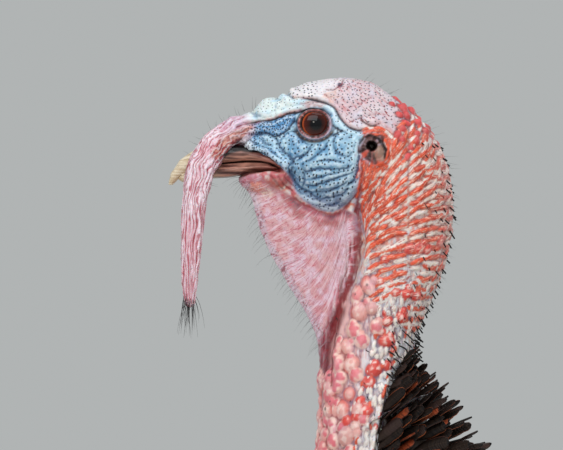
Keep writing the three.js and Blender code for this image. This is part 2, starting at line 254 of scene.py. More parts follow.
def cells(places, size, seed):
    """Distances to the nearest and second nearest scattered point in cell sizes, and the nearest's value."""
    scaled = np.asarray(places) / size
    cell = np.floor(scaled)
    near = np.full(len(scaled), 9.0)
    second = np.full(len(scaled), 9.0)
    value = np.zeros(len(scaled))
    for shift in np.ndindex(3, 3, 3):
        other = cell + np.array(shift) - 1
        centre = other + np.stack([lattice(other, seed + k) for k in range(3)], -1)
        away = np.linalg.norm(scaled - centre, axis=-1)
        closer = away < near
        second = np.where(closer, near, np.minimum(second, away))
        value = np.where(closer, lattice(other, seed + 9), value)
        near = np.where(closer, away, near)
    return near, second, value


def along_line(flat, line):
    """Distance of points from a polyline, both in the same plane, and where along it from 0 to 1."""
    line = np.asarray(line, float)
    best = np.full(len(flat), 1e9)
    where = np.zeros(len(flat))
    for i in range(len(line) - 1):
        a, b = line[i], line[i + 1]
        span = b - a
        t = np.clip(((flat - a) @ span) / (span @ span), 0, 1)
        away = np.linalg.norm(flat - (a + t[:, None] * span), axis=1)
        where = np.where(away < best, (i + t) / (len(line) - 1), where)
        best = np.minimum(best, away)
    return best, where


def curve_through(line, steps):
    """A smooth curve through a few points."""
    line = np.asarray(line, float)
    ends = np.concatenate([[2 * line[0] - line[1]], line, [2 * line[-1] - line[-2]]])
    out = []
    for i in range(len(line) - 1):
        p, q, r, s = ends[i : i + 4]
        for t in np.arange(steps) / steps:
            out.append(0.5 * (2 * q + (r - p) * t + (2 * p - 5 * q + 4 * r - s) * t * t
                              + (3 * q - p - 3 * r + s) * t ** 3))
    out.append(line[-1])
    return np.array(out)


def inside(flat, outline):
    """Signed distance to a closed outline: positive inside it."""
    loop = curve_through(list(outline) + [outline[0]], 3)
    away, _ = along_line(flat, loop)
    x, z = flat[:, 0], flat[:, 1]
    crossed = np.zeros(len(flat), bool)
    for a, b in zip(loop[:-1], loop[1:]):
        spans = (a[1] > z) != (b[1] > z)
        rise = b[1] - a[1] if abs(b[1] - a[1]) > 1e-9 else 1e-9
        crossed ^= spans & (x < (b[0] - a[0]) * (z - a[1]) / rise + a[0])
    return np.where(crossed, away, -away)


# ---- camera, floor and light ----
FRAME_WIDTH = 0.2534  # what the camera sees across, at the bird's midline
VIEW_CENTRE = EYE + np.array([-14.6, 0, -45.5]) * MM
CAMERA_AWAY = 2.5
SENSOR = 36.0


def place_camera():
    camera = new_object("camera", bpy.data.cameras.new("camera"))
    camera.location = VIEW_CENTRE - np.array([0, CAMERA_AWAY, 0])
    camera.rotation_euler = (math.radians(90), 0, 0)
    camera.data.sensor_width = SENSOR
    camera.data.lens = SENSOR * CAMERA_AWAY / FRAME_WIDTH
    camera.data.clip_start = 0.1
    camera.data.clip_end = 100
    bpy.context.scene.camera = camera


def area_light(name, offset, size, power, colour):
    """A soft light of a width and a height, which looks at the head and isn't seen itself."""
    light = new_object(name, bpy.data.lights.new(name, "AREA"))
    light.location = offset
    aim = Vector((EYE[0] + 0.1, 0, EYE[2] - 0.2)) - light.location
    light.rotation_euler = aim.to_track_quat("-Z", "Y").to_euler()
    light.data.shape = "RECTANGLE"
    light.data.size, light.data.size_y = size
    light.data.energy = power
    light.data.color = colour
    light.visible_camera = False


def place_stage():
    bpy.ops.mesh.primitive_circle_add(vertices=96, radius=6, fill_type="NGON", location=(0, 0, 0))
    floor = bpy.context.object
    floor.name = "stage_floor"
    material = plain_material("stage_floor", srgb(226, 226, 222), 0.9)
    floor.data.materials.append(material)
    world = bpy.data.worlds.new("pale_room")
    world.use_nodes = True
    world.node_tree.nodes["Background"].inputs["Color"].default_value = (*srgb(222, 226, 226), 1)
    world.node_tree.nodes["Background"].inputs["Strength"].default_value = 0.6
    bpy.context.scene.world = world
    area_light("key", (-0.8, -2.0, 2.2), (2.7, 1.4), 34, (0.95, 0.96, 1.0))
    area_light("sky", (0.2, -0.4, 3.2), (2.0, 2.0), 20, (0.95, 0.975, 1.0))
    area_light("sun", (-0.5, -2.4, 1.2), (0.36, 0.36), 4, (1.0, 0.93, 0.82))
    area_light("fill", (1.6, 1.9, 1.5), (1.6, 1.6), 12, (0.95, 0.97, 1.0))
    bpy.context.scene.view_settings.view_transform = "Standard"


# ---- colours and shader nodes ----
def srgb(red, green, blue):
    """A colour as seen on a screen, 0 to 255, in the linear values that shaders use."""
    screen = np.array([red, green, blue]) / 255
    return tuple(np.where(screen <= 0.04045, screen / 12.92, ((screen + 0.055) / 1.055) ** 2.4))


class Value:
    """What a shader node gives out. A sum, a difference or a product of values is one more node."""

    def __init__(self, shade, socket):
        self.shade = shade
        self.socket = socket

    def __add__(self, other):
        return self.shade.math("ADD", self, other)

    def __sub__(self, other):
        return self.shade.math("SUBTRACT", self, other)

    def __mul__(self, other):
        return self.shade.math("MULTIPLY", self, other)

    def __abs__(self):
        return self.shade.math("ABSOLUTE", self)


class Shader:
    """Adds nodes to one material and links them; what a node takes in is a value or a constant."""

    def __init__(self, name):
        self.material = bpy.data.materials.new(name)
        self.material.use_nodes = True
        self.nodes = self.material.node_tree.nodes
        self.links = self.material.node_tree.links

    def feed(self, socket, value):
        if isinstance(value, Value):
            self.links.new(value.socket, socket)
        elif socket.type == "RGBA":
            socket.default_value = (*value, 1)
        else:
            socket.default_value = value

    def add(self, kind, inputs, output=0, **settings):
        node = self.nodes.new(kind)
        for key, value in settings.items():
            setattr(node, key, value)
        for key, value in inputs.items():
            self.feed(node.inputs[key], value)
        return Value(self, node.outputs[output])

    def attribute(self, name, output="Fac"):
        return self.add("ShaderNodeAttribute", {}, output, attribute_name=name)

    def place(self):
        return self.add("ShaderNodeTexCoord", {}, "Object")

    def axes(self, vector):
        node = self.add("ShaderNodeSeparateXYZ", {0: vector}).socket.node
        return [Value(self, socket) for socket in node.outputs]

    def vector(self, x, y, z=0.0):
        return self.add("ShaderNodeCombineXYZ", {0: x, 1: y, 2: z})

    def scaled(self, vector, scale):
        return self.add("ShaderNodeVectorMath", {0: vector, 1: scale}, operation="MULTIPLY")

    def math(self, operation, a, b=0.0):
        return self.add("ShaderNodeMath", {0: a, 1: b}, operation=operation)

    def between(self, value, low, high, out_low=0.0, out_high=1.0):
        """From out_low where the value is low to out_high where it is high, smooth between them."""
        ends = {"Value": value, "From Min": low, "From Max": high, "To Min": out_low, "To Max": out_high}
        return self.add("ShaderNodeMapRange", ends, interpolation_type="SMOOTHSTEP")

    def noise(self, vector, scale, detail=3.0, roughness=0.55):
        inputs = {"Vector": vector, "Scale": scale, "Detail": detail, "Roughness": roughness}
        return self.add("ShaderNodeTexNoise", inputs, "Fac")

    def crossing(self, value, width):
        """1 on the thin lines where a noise passes its middle value, 0 away from them."""
        return self.between(abs(value - 0.5), width, 0.0)

    def spots(self, vector, scale, randomness):
        """The distance to the nearest of many points strewn over a plane."""
        inputs = {"Vector": vector, "Scale": scale, "Randomness": randomness}
        return self.add("ShaderNodeTexVoronoi", inputs, "Distance", feature="F1", voronoi_dimensions="2D")

    def mix(self, share, a, b, blend="MIX"):
        """Colour a where the share is 0 and colour b where it is 1."""
        return self.add("ShaderNodeMix", {0: share, 6: a, 7: b}, 2, data_type="RGBA", blend_type=blend)

    def bump(self, height, depth, strength):
        inputs = {"Height": height, "Distance": depth, "Strength": strength}
        return self.add("ShaderNodeBump", inputs, "Normal")

    def finish(self, colour, roughness, **others):
        surface = self.nodes["Principled BSDF"].inputs
        self.feed(surface["Base Color"], colour)
        self.feed(surface["Roughness"], roughness)
        for key, value in others.items():
            self.feed(surface[key.replace("_", " ")], value)
        return self.material


def plain_material(name, colour, roughness):
    shade = Shader(name)
    cloud = shade.noise(shade.place(), 3.0)
    tone = shade.mix(cloud, tuple(c * 0.97 for c in colour), colour)
    return shade.finish(tone, roughness)


# ---- the bare head and neck: the rounded form ----
SNOOD_LINE = [(-24, -0.5, 4.5), (-32, -1.4, 0), (-39, -2.6, -4.7), (-45, -5.2, -10), (-50, -8.6, -17),
              (-52.4, -10.8, -26), (-53.7, -11.6, -36), (-54.8, -11.6, -52), (-55.6, -11.3, -67),
              (-55.7, -10.9, -83)]
# Where the fine skin of the neck gives way to the feathered body's: level in front, slanting up behind.
BARE_ENDS = [((0, 0, -192.0), (0, 0, -1)), ((-12, 0, -215), (1.64, 0, -1))]
BASE_VOXEL = 0.8 * MM
SKIN_VOXEL = 0.55 * MM
JOIN_GROWTH = 0.35 * MM  # closes the thin cuts between the solids
LID_RADIUS = EYE_RADIUS + 0.75  # the outside of the eyelids, over the eyeball
OPENING_CENTRE = (0.1, -0.3)
OPENING_HALF = (6.7, 5.9)  # half the length and half the height of the opening between the lids
EAR_HOLE = (25.8, -10.2, 2.5, 2.4)
EAR_RIM = (26.5, -11.9, 6.2, 6.4)
EAR_BROW = [(20.5, -9), (22.3, -6.2), (25.5, -5.2), (29.2, -7.4), (32, -12), (31.5, -15.4)]
THROAT_CENTRE = (-17, 0, -25.6)  # the soft throat between the halves of the lower jaw
THROAT_RADII = (17.4, 8.6, 6.0)
# The skin over each side of the lower jaw: x, y, z and radius.
THROAT_BALLS = [(-29, 4.4, -22.4, 2.8), (-25, 5.6, -22.9, 3.5), (-20, 6.4, -23.4, 3.8),
                (-15.5, 7.6, -24.6, 4.2)]
# The puffed lower edge of the lobe before the eye, over the rear of the bill: x, y, z and radius.
LOBE_BALLS = [(-28.6, 5.4, -9.6, 3.5), (-24.2, 6.8, -10.5, 3.8), (-20, 8.4, -12.6, 3.8),
              (-16, 10, -15.8, 3.8), (-12.8, 11, -18.4, 3.6)]
FINE_FLESH = ("head", "ear_left", "ear_right", "neck_upper", "neck_lower", "dewlap", "snood")


def ball(centre, radii, detail=3, turn=None):
    """An ellipsoid as points and triangles."""
    work = bmesh.new()
    bmesh.ops.create_icosphere(work, subdivisions=detail, radius=1)
    unit = np.array([vert.co for vert in work.verts])
    faces = np.array([[vert.index for vert in face.verts] for face in work.faces])
    work.free()
    places = unit * np.asarray(radii)
    if turn is not None:
        places = places @ turn
    return places + np.asarray(centre), faces


def in_head(places):
    return (places - EYE) / MM


def from_head(places):
    return np.asarray(places) * MM + EYE


def corners_in_head(box):
    """The lowest and the highest corner of a box, in head millimetres."""
    return [in_head(np.array(corner)) for corner in box]


def side_heading(angle):
    """A heading in the side view, from an angle in radians over the level."""
    return np.array([math.cos(angle), 0, math.sin(angle)])


def triangles_of(mesh):
    mesh.calc_loop_triangles()
    return read(mesh.loop_triangles, "vertices", 3, np.int32)


def bare_form():
    """The head, neck, snood and dewlap as one smooth form, with the eyes' bulge and no detail."""
    parts = [flesh_of(node, JOIN_GROWTH) for node in FINE_FLESH]
    ends = [(from_head(spot), away) for spot, away in BARE_ENDS]
    parts.append(flesh_of("neck_base", JOIN_GROWTH, ends))
    for _, side in SIDES:
        centre = from_head([0, side * EYE_SIDE, 0])
        parts.append(ball(centre, [LID_RADIUS * MM] * 3))
        for x, y, z, radius in LOBE_BALLS + THROAT_BALLS:
            parts.append(ball(from_head([x, side * y, z]), [radius * MM] * 3))
    parts.append(ball(from_head(THROAT_CENTRE), np.array(THROAT_RADII) * MM))
    mesh = remeshed(joined("bare_form", parts), BASE_VOXEL)
    places = smoothed(points(mesh), edges_of(mesh), 12)
    # The eyes' bulge is put back where the smoothing has shrunk it.
    flat = in_head(places)
    for _, side in SIDES:
        out = flat - np.array([0, side * EYE_SIDE, 0])
        away = np.linalg.norm(out, axis=1)
        near = step(1.4, 0.3, LID_RADIUS - away) * (away > 1) * (side * flat[:, 1] > 10)
        flat = flat + out * (near * np.maximum(0, LID_RADIUS / away - 1))[:, None]
    set_points(mesh, from_head(flat))
    return mesh


class Form:
    """Finds places on the rounded form, in head millimetres."""

    def __init__(self, mesh):
        self.surface = (points(mesh), triangles_of(mesh))
        self.tree = BVHTree.FromPolygons(in_head(self.surface[0]).tolist(), self.surface[1].tolist())

    def hit(self, origin, direction):
        place, normal, _, _ = self.tree.ray_cast(Vector(origin), Vector(direction))
        return None if place is None else (np.array(place), np.array(normal))

    def from_side(self, x, z, side):
        return self.hit((x, side * 90, z), (0, -side, 0))

    def round_neck(self, angle, z):
        """From outside towards the neck's middle: 0 degrees is the throat, 90 the side and 180 the nape."""
        back = self.hit((150, 0, z), (-1, 0, 0))
        if back is None:
            return None
        middle = back[0][0] - 21
        turn = math.radians(angle)
        heading = np.array([math.cos(turn), math.sin(turn), 0])
        origin = np.array([middle, 0, z]) - heading * np.array([100, 100, 0])
        return self.hit(origin, heading)


# ---- caruncles: the lumps and ridges that the skin grows ----
ORANGE, CREAM, RED, PINK, BEAD = range(5)
LUMP_COLOURS = {
    ORANGE: srgb(222, 80, 42),
    CREAM: srgb(238, 228, 218),
    RED: srgb(218, 60, 48),
    PINK: srgb(230, 166, 158),
    BEAD: srgb(208, 66, 66),
}
RIDGE_GAP = 2.15  # between neighbouring ridges on the nape side of the neck


class Lump:
    def __init__(self, kind, place, normal, heading, radii, sunk=0.28):
        self.kind = kind
        self.radii = np.asarray(radii, float)
        along = heading - normal * (heading @ normal)
        along = along / (np.linalg.norm(along) + 1e-9)
        self.turn = np.array([along, np.cross(normal, along), normal])
        self.centre = place - normal * self.radii[2] * sunk

    def surface(self, detail):
        return ball(from_head(self.centre), self.radii * MM, detail, self.turn)


def ridge_slope(x, z):
    """The rise of the ridges in degrees: steep behind the jaw, nearly level low on the nape."""
    nape = 6 + 44 * step(-62, -10, z)
    share = math.exp(-max(0.0, x - 24) / 7)
    return nape * (1 - share) + 66.0 * share


def ridges(form, side, draws):
    """Rows of long narrow lumps that follow the lie of the ridges, orange and cream by turns."""
    lumps = []
    for row, start in enumerate(np.arange(2.0, -78.0, -RIDGE_GAP)):
        kind = ORANGE if row % 2 == 0 else CREAM
        for sense in (-1, 1):
            x, z = 42.0, start
            while 19 < x < 66 and -84 < z < 6:
                length = draws.uniform(3.6, 6.4) if kind == ORANGE else draws.uniform(3.5, 5.5)
                slope = math.radians(ridge_slope(x, z) + draws.normal(0, 7))
                heading = side_heading(slope)
                x += sense * length * 0.8 * heading[0]
                z += sense * length * 0.8 * heading[2]
                ear = math.hypot((x - EAR_RIM[0] - 1) / 8.5, (z - EAR_RIM[1]) / 10.5)
                found = form.from_side(x, z + draws.normal(0, 0.25), side)
                behind_jaw = x > 21 + 0.12 * max(0, -z - 30)
                if found is None or ear < 1 or not behind_jaw or z > 8 - 0.5 * (x - 40):
                    continue
                if draws.random() < (0.12 if kind == ORANGE else 0.35):
                    continue
                thick = draws.uniform(0.75, 1.2) if kind == ORANGE else draws.uniform(0.65, 0.95)
                fade = 1 - 0.35 * step(-50, -80, z)
                radii = (length * 0.62, thick, thick * 1.25 * fade)
                lumps.append(Lump(kind, *found, heading, radii, sunk=0.12))
    return lumps


def ear_strands(form, side, draws):
    """Thin orange folds that ring the ear behind and fan out down to the jaw below it."""
    lumps = []
    for ring in (1.08, 1.32, 1.55):
        for angle in np.arange(112, -84, -15.0):
            turn = math.radians(angle + draws.uniform(-4, 4))
            x = EAR_RIM[0] + EAR_RIM[2] * ring * math.cos(turn)
            z = EAR_RIM[1] + EAR_RIM[3] * ring * math.sin(turn)
            found = form.from_side(x, z, side)
            if found is None or draws.random() < 0.12:
                continue
            heading = np.array([-math.sin(turn), 0, math.cos(turn)])
            kind = CREAM if ring > 1.4 and draws.random() < 0.5 else ORANGE
            lumps.append(Lump(kind, *found, heading, (draws.uniform(1.9, 2.8), 0.75, 0.8)))
    for start in np.arange(20.5, 33.0, 1.7):
        lean = 0.35 - 0.02 * (start - 20)
        for drop in np.arange(-18.5, -34.0, -3.4):
            x = start - lean * (-18.5 - drop) * 0.55 + draws.uniform(-0.3, 0.3)
            found = form.from_side(x, drop + draws.uniform(-0.8, 0.8), side)
            if found is None or x < 19.5 or draws.random() < 0.1:
                continue
            lumps.append(Lump(ORANGE, *found, np.array([lean, 0, 1.0]),
                              (draws.uniform(1.9, 3.0), 0.8, 0.8)))
    return lumps


# The red nodules on the side of the neck and the great pink ones down its front: x, z and half size.
RED_NODULES = [(38, -55.5, 1.9), (42.5, -56, 2.4), (47, -55.8, 2.9), (50.5, -56.2, 2.2), (56, -53.2, 2.7),
               (36.5, -75.5, 2.2), (41.5, -75.8, 2.8), (45.5, -77, 2.4), (39.2, -86.5, 3.1),
               (32.3, -88.5, 2.3), (32.6, -97, 3.1), (29.5, -93, 2.2), (29.5, -70.5, 1.9),
               (31.8, -60.5, 2.0), (32.6, -108.3, 2.5), (27, -110, 3.2), (24.6, -115.8, 2.4),
               (22.4, -128.5, 2.9), (19, -131.5, 2.9), (20.6, -124, 2.0), (18.5, -136.5, 2.3)]
PINK_NODULES = [(24.6, -72.8, 3.4), (19.8, -77.4, 3.4), (20.7, -84, 4.1), (25.5, -82.4, 3.2),
                (27.9, -91, 3.1), (18.2, -92.7, 3.6), (21.2, -97.2, 3.4), (10.4, -100, 3.2),
                (15, -100, 2.9), (10.8, -107.8, 4.2), (16.6, -108, 3.8), (18.6, -112, 3.4),
                (10.4, -116.8, 3.5), (6.8, -117.6, 3.3), (6.8, -128.3, 4.2), (12.6, -128.3, 3.6),
                (5.9, -133, 3.2), (14.4, -139.6, 4.6), (8.6, -142, 4.0), (3.5, -136.3, 3.2),
                (18.4, -135.4, 2.8), (5.2, -149, 4.2), (13, -150, 4.6), (9, -158, 4.8), (17.5, -158, 4.2)]


def nodules(form, side, draws):
    lumps = []
    for kind, rows in ((RED, RED_NODULES), (PINK, PINK_NODULES)):
        for x, z, half in rows:
            found = form.from_side(x, z, side)
            if found is None:
                continue
            tilt = math.radians(draws.uniform(60, 120) if kind == PINK else draws.uniform(-20, 60))
            heading = side_heading(tilt)
            longer = draws.uniform(1.0, 1.3)
            lumps.append(Lump(kind, *found, heading, (half * longer, half, half * 0.8)))
            if half > 2.6:
                # A smaller lobe grows from the side of a large one.
                beside = form.from_side(x + draws.uniform(-0.8, 0.8) * half, z + half * 0.8, side)
                if beside is not None:
                    lumps.append(Lump(kind, *beside, heading, (half * 0.7, half * 0.6, half * 0.6)))
    return lumps


def papillae(form, side, draws):
    """Small upright bumps low on the side of the neck, most of them pale."""
    lumps = []
    for z in np.arange(-62, -150, -2.6):
        front = 30 + 0.14 * (z + 80) - 6 * step(-100, -130, z)
        for x in np.arange(front, 66, 1.9):
            found = form.from_side(x + draws.uniform(-0.8, 0.8), z + draws.uniform(-1.2, 1.2), side)
            chance = 0.75 * step(-58, -84, z)
            if found is None or draws.random() > chance:
                continue
            kind = CREAM if draws.random() < 0.72 else (ORANGE if draws.random() < 0.75 else RED)
            thick = draws.uniform(0.6, 1.0)
            heading = np.array([draws.uniform(-0.3, 0.5), 0, 1.0])
            radii = (thick * draws.uniform(1.3, 2.6), thick, thick * 1.1)
            lumps.append(Lump(kind, *found, heading, radii, sunk=0.1))
    return lumps


def throat_lumps(form, draws):
    """Pink lumps across the front of the neck, and lower down all round it."""
    lumps = []
    for z in np.arange(-114, -190, -6.0):
        spread = 52 + 70 * step(-150, -174, z)
        for angle in np.arange(-spread, spread + 1, 17.0):
            found = form.round_neck(angle + draws.uniform(-6, 6), z + draws.uniform(-2.5, 2.5))
            if found is None or abs(found[0][1]) > 40:
                continue
            half = draws.uniform(2.6, 4.4)
            kind = PINK if draws.random() < 0.86 else RED
            lumps.append(Lump(kind, *found, np.array([0.2, 0, 1.0]), (half * 1.15, half, half * 0.7)))
    return lumps


# The red beads on the rear of the crown: x, z, half size and the tilt of the longer ones in degrees.
CROWN_BEADS = [(44.4, 6.8, 1.8, 0), (48, 3.4, 1.2, -20), (52.8, -1.0, 1.7, 0), (39.4, 10.4, 1.3, -30),
               (56.6, -11, 1.0, 0), (39.8, 6.6, 2.2, -50), (38.2, 3.9, 1.5, -20), (41.3, 3.6, 1.7, -80),
               (46.4, 0.2, 1.9, 0), (41.1, 0.2, 1.3, -10), (49.9, -3.7, 2.0, -30), (46, -4.9, 1.6, 20),
               (39.3, -2.6, 1.8, 40), (37.3, -5.3, 1.6, 70), (39.3, -7.2, 1.4, 0), (45.5, -7.9, 1.6, 60),
               (43.2, -11, 1.3, 70), (41.6, -15, 1.2, 72), (52.5, -6.6, 1.2, -40), (35, 8.6, 1.3, -40)]


def crown_beads(form, draws):
    """Small red beads over the back of the crown, some of them on the midline."""
    lumps = []
    for side in (-1, 1):
        for x, z, half, tilt in CROWN_BEADS:
            place, normal, _, _ = form.tree.find_nearest(Vector((x, side * draws.uniform(1, 4), z)))
            found = form.from_side(x, z, side) or (np.array(place), np.array(normal))
            heading = side_heading(math.radians(tilt + draws.uniform(-12, 12)))
            radii = (half * draws.uniform(1.0, 1.5), half, half)
            lumps.append(Lump(BEAD, *found, heading, radii, sunk=draws.uniform(-0.2, 0.25)))
    for share in np.linspace(0.05, 0.95, 9):
        found = form.hit((78 + 18 * share, draws.uniform(-6, 6), 50 - 38 * share), (-0.75, 0, -0.66))
        if found is not None:
            half = draws.uniform(1.0, 1.7)
            heading = np.array([0.3, draws.uniform(-1, 1), -0.8])
            lumps.append(Lump(BEAD, *found, heading, (half * 1.3, half, half), sunk=0.1))
    return lumps


def nape_lumps(form, draws):
    """Ridges that carry the pattern across the back of the neck."""
    lumps = []
    for row, z in enumerate(np.arange(-6.0, -92.0, -RIDGE_GAP * 1.05)):
        kind = ORANGE if row % 2 == 0 else CREAM
        for angle in np.arange(130, 231, 13.0):
            found = form.round_neck(angle + draws.uniform(-4, 4), z + draws.uniform(-0.6, 0.6))
            if found is None or draws.random() < 0.2:
                continue
            thick = draws.uniform(0.9, 1.4)
            heading = np.array([0.1, 1.0, draws.uniform(-0.2, 0.2)])
            lumps.append(Lump(kind, *found, heading, (draws.uniform(2.4, 3.6), thick, thick * 0.75)))
    return lumps


def all_lumps(form):
    draws = np.random.default_rng(11)
    lumps = crown_beads(form, draws) + nape_lumps(form, draws) + throat_lumps(form, draws)
    for _, side in SIDES:
        lumps += ridges(form, side, draws) + ear_strands(form, side, draws)
        lumps += nodules(form, side, draws) + papillae(form, side, draws)
    return [lump for lump in lumps if bare_edge(lump.centre[None])[0] < 8]


# ---- creases and folds of the head: lines in the side view, with their depth and half width ----
BROW = [(-34.5, -1.3), (-27.1, 0.8), (-19.4, 1.7), (-14.2, 3.8), (-8.2, 4.9), (-4.3, 6.2), (0, 7.0),
        (4.3, 6.4), (7.3, 4.2)]
LORE_EDGE = [(-28.4, -5.2), (-22.8, -3.9), (-19.8, -5.2), (-16.8, -6.1), (-13.4, -3.9), (-9.9, 0.4),
             (-8.2, 3.4)]
LORAL_LOBE = [(-31.4, -10), (-28.4, -5.6), (-22.8, -4.8), (-18.5, -5.6), (-15.9, -9.1), (-14.2, -12.1),
              (-9.9, -16), (-10.3, -18.1), (-12.5, -21.2), (-15.9, -19), (-20.7, -16), (-23.7, -13.8),
              (-29.3, -13)]
EYE_LOBE = [(-15.9, -9.1), (-12.5, -4.4), (-8.2, -3.9), (-5.6, -7.4), (-1.3, -10), (-3, -12.5),
            (-5.6, -14.7), (-8.2, -15.1), (-9.9, -15.6), (-13.8, -12.1)]
CHEEK = [(-9.9, -18.1), (-10.3, -22), (-7.8, -27.2), (-1.3, -31.5), (7.3, -34), (15.1, -29.5),
         (19.2, -20.6), (20.2, -10.1), (15, -4.5), (9, -8), (2, -11), (-4, -14.5)]
BLUE_FACE = [(-33, -9.5), (-29, -3), (-20, 1.5), (-8, 5), (4, 9), (9.4, 5.6), (13, 0.2), (18, -3), (22, -4),
             (20.6, -12), (20.4, -22), (17.5, -33), (8, -39.5), (-2, -36), (-8, -30.5), (-11.5, -22.5),
             (-21, -16), (-29, -13.2)]
CROWN_EDGE = [(-9.6, 12), (-3.9, 11.3), (0.2, 10.8), (4.1, 9.9), (6.8, 8.6), (9.2, 6.5), (11, 3.5),
              (12.8, 0.8), (14.9, -1.3), (17.5, -2.5), (20.2, -3.1), (22.3, -2.4)]
# Each crease is a line in the side view, its depth, its half width and the darkness of its painted shade:
# past 1 it turns black.
CREASES = [
    (BROW, 1.2, 0.8, 1.7),
    (LORE_EDGE, 0.8, 0.9, 1.05),
    (CROWN_EDGE, 0.9, 0.7, 1.5),
    ([(20.5, 2.3), (22.6, 0.2), (25.3, -1), (28.5, -0.6)], 0.9, 0.9, 1.5),
    ([(7.2, 1), (8.4, -0.8), (10.1, -2.2), (13.5, -3.7)], 0.8, 0.8, 1.4),
    ([(10.1, -2.2), (10.6, -4), (8, -5.8)], 0.5, 0.7, 1.1),
    (LORAL_LOBE[:6], 0.9, 1.1, 0.55),
    (LORAL_LOBE[5:9], 1.0, 1.0, 0.8),
    (LORAL_LOBE[8:] + [LORAL_LOBE[0]], 1.2, 1.0, 0.8),
    (EYE_LOBE[:5], 0.7, 1.1, 0.4),
    (EYE_LOBE[4:] + [EYE_LOBE[0]], 0.9, 1.1, 0.65),
    ([(-9.9, -18.1), (-10.3, -22), (-7.8, -27.2), (-1.3, -31.8), (5, -34.2)], 1.0, 1.3, 0.6),
    ([(-10.8, -31), (-6.3, -35.6), (0.5, -38.6), (7.2, -40.5), (13, -39), (17.4, -34), (19.8, -29.7)], 1.3,
     1.4, 0.7),
    ([(20.2, -7.8), (19.9, -14.3), (19.4, -20.7), (17.7, -25.5), (14.2, -28.5)], 1.1, 1.1, 0.8),
    ([(20.9, -8), (21.2, -17), (20.6, -28), (19.2, -38), (20.7, -45.5)], 0.9, 1.1, 0.6),
    ([(-9, -17), (-6, -15.5), (-3.2, -13), (-1, -10.6)], 0.8, 0.9, 0.5),
    ([(-5.2, -20), (-3.5, -22), (0.9, -20.6), (7.3, -20.6), (13.8, -20.1), (17.7, -17.9)], 0.7, 0.9, 0.75),
    ([(-4.3, -28), (3, -27.4), (9.5, -24.8), (15.5, -22.9), (18.4, -21)], 0.8, 0.9, 0.8),
    ([(-2, -24.6), (3, -24.2), (9.5, -22.4), (16, -20.4)], 0.55, 0.8, 0.5),
    ([(-4.7, -21.6), (-4.3, -24.6), (-4.9, -28.5)], 0.6, 0.9, 0.7),
    ([(-1, -30.6), (5, -30.6), (11, -28.6), (16, -25.4)], 0.6, 0.9, 0.7),
    ([(-2, -34), (5, -33.6), (12, -31.8), (17, -28)], 0.6, 0.9, 0.6),
    ([(0, -36.6), (7, -36.8), (13, -34.6)], 0.5, 0.9, 0.5),
    ([(9.5, -5.2), (8.6, -9.5), (10.2, -13.5), (14.5, -15.2)], 0.6, 0.8, 0.4),
    ([(14.5, -15.2), (17.4, -12.5), (17.8, -8.4)], 0.45, 0.8, 0.3),
    ([(7, -7.5), (4.4, -11.5), (-0.5, -15.4), (-4.6, -17.4)], 0.6, 0.9, 0.4),
    ([(0.5, -16.8), (7, -16.6), (12.6, -17.2)], 0.45, 0.8, 0.4),
    ([(-28, -8), (-24, -9.4), (-19, -12.4), (-14, -16.6)], 0.5, 0.9, 0.35),
    ([(-24.6, -5.2), (-22.6, -8), (-18.2, -10.6)], 0.45, 0.8, 0.3),
    ([(-16.9, 15), (-16.6, 12.4), (-15.4, 10.6)], 0.8, 0.9, 0.05),
    ([(-12.6, 20), (-12.3, 15), (-11.2, 12.8), (-9.2, 11.9)], 1.4, 1.0, 0.15),
    ([(-26.8, 5.6), (-25.4, 3.8), (-22, 3.0), (-18.4, 3.6)], 0.8, 1.0, 0.3),
    ([(-30.5, 9), (-28, 5.2), (-24.5, 2.2)], 0.8, 1.3, 0.2),
    ([(13, 19.5), (11.6, 17.2), (8.4, 15.6), (4.4, 15.4)], 0.6, 0.7, 0.5),
    ([(4.4, 15.4), (5, 12.6), (8.4, 10), (12.6, 7)], 0.4, 0.9, 0.1),
    ([(15, -0.6), (20, 2.2), (26, 4), (33, 3.4)], 0.4, 1.0, 0.1),
    ([(12.6, 7), (18, 8), (24, 11.4), (29, 12)], 0.35, 1.1, 0.1),
    ([(-14.2, -22.9), (-9.9, -27.2), (-7.3, -29.8), (-4.3, -32)], 0.7, 0.9, 0.7),
    ([(-17.2, -22.4), (-13, -27.6), (-9.3, -31)], 0.7, 0.8, 0.7),
    ([(-20.5, -22.2), (-16.6, -27), (-13.2, -30)], 0.55, 0.8, 0.6),
    ([(20.7, -45.5), (19.8, -56), (18.2, -66), (14.8, -75), (11.7, -81.5), (8.6, -91), (6.3, -99.5)], 1.9,
     1.9, 0.9),
    ([(17.6, -52), (14.6, -66), (10.4, -78)], 0.8, 1.2, 0.5),
    ([(23.2, -48), (21.6, -60), (18, -72)], 0.7, 1.1, 0.5),
    ([(11.6, -84), (8.6, -96), (7, -108), (7.4, -117)], 1.5, 1.5, 0.9),
]
# Where the skin leaves the horn of the bill bare, in front of the corner of the mouth.
BARE_HORN = [(-39, -11), (-31.2, -12.8), (-25.4, -14.3), (-21.5, -16), (-17.1, -19.2), (-13.6, -21.4),
             (-15, -22.2), (-20, -21), (-27, -22.3), (-39, -24)]
# Painted shadow over the hollow at the nostril, between the snood and the lobe before the eye.
NOSTRIL_SHADOW = [(-44, -18.5), (-39, -13.8), (-34, -12.8), (-31.8, -12.4), (-31.9, -10), (-29, -6.2), (-33, -6.6),
           (-37, -10), (-41, -14)]


def lid_distance(flat):
    """Distance outside the opening between the lids, less than 0 inside it, and the angle round it."""
    across = (flat[:, 0] - OPENING_CENTRE[0]) / OPENING_HALF[0]
    up = (flat[:, 2] - OPENING_CENTRE[1]) / OPENING_HALF[1]
    return (np.hypot(across, up) - 1) * sum(OPENING_HALF) / 2, np.arctan2(up, across)


def off_eye(flat, low, high):
    """0 at the eyes' openings, rising to 1 between two distances outside them."""
    lids, _ = lid_distance(flat)
    return step(low, high, np.where(np.abs(flat[:, 1]) > 8, lids, 9))


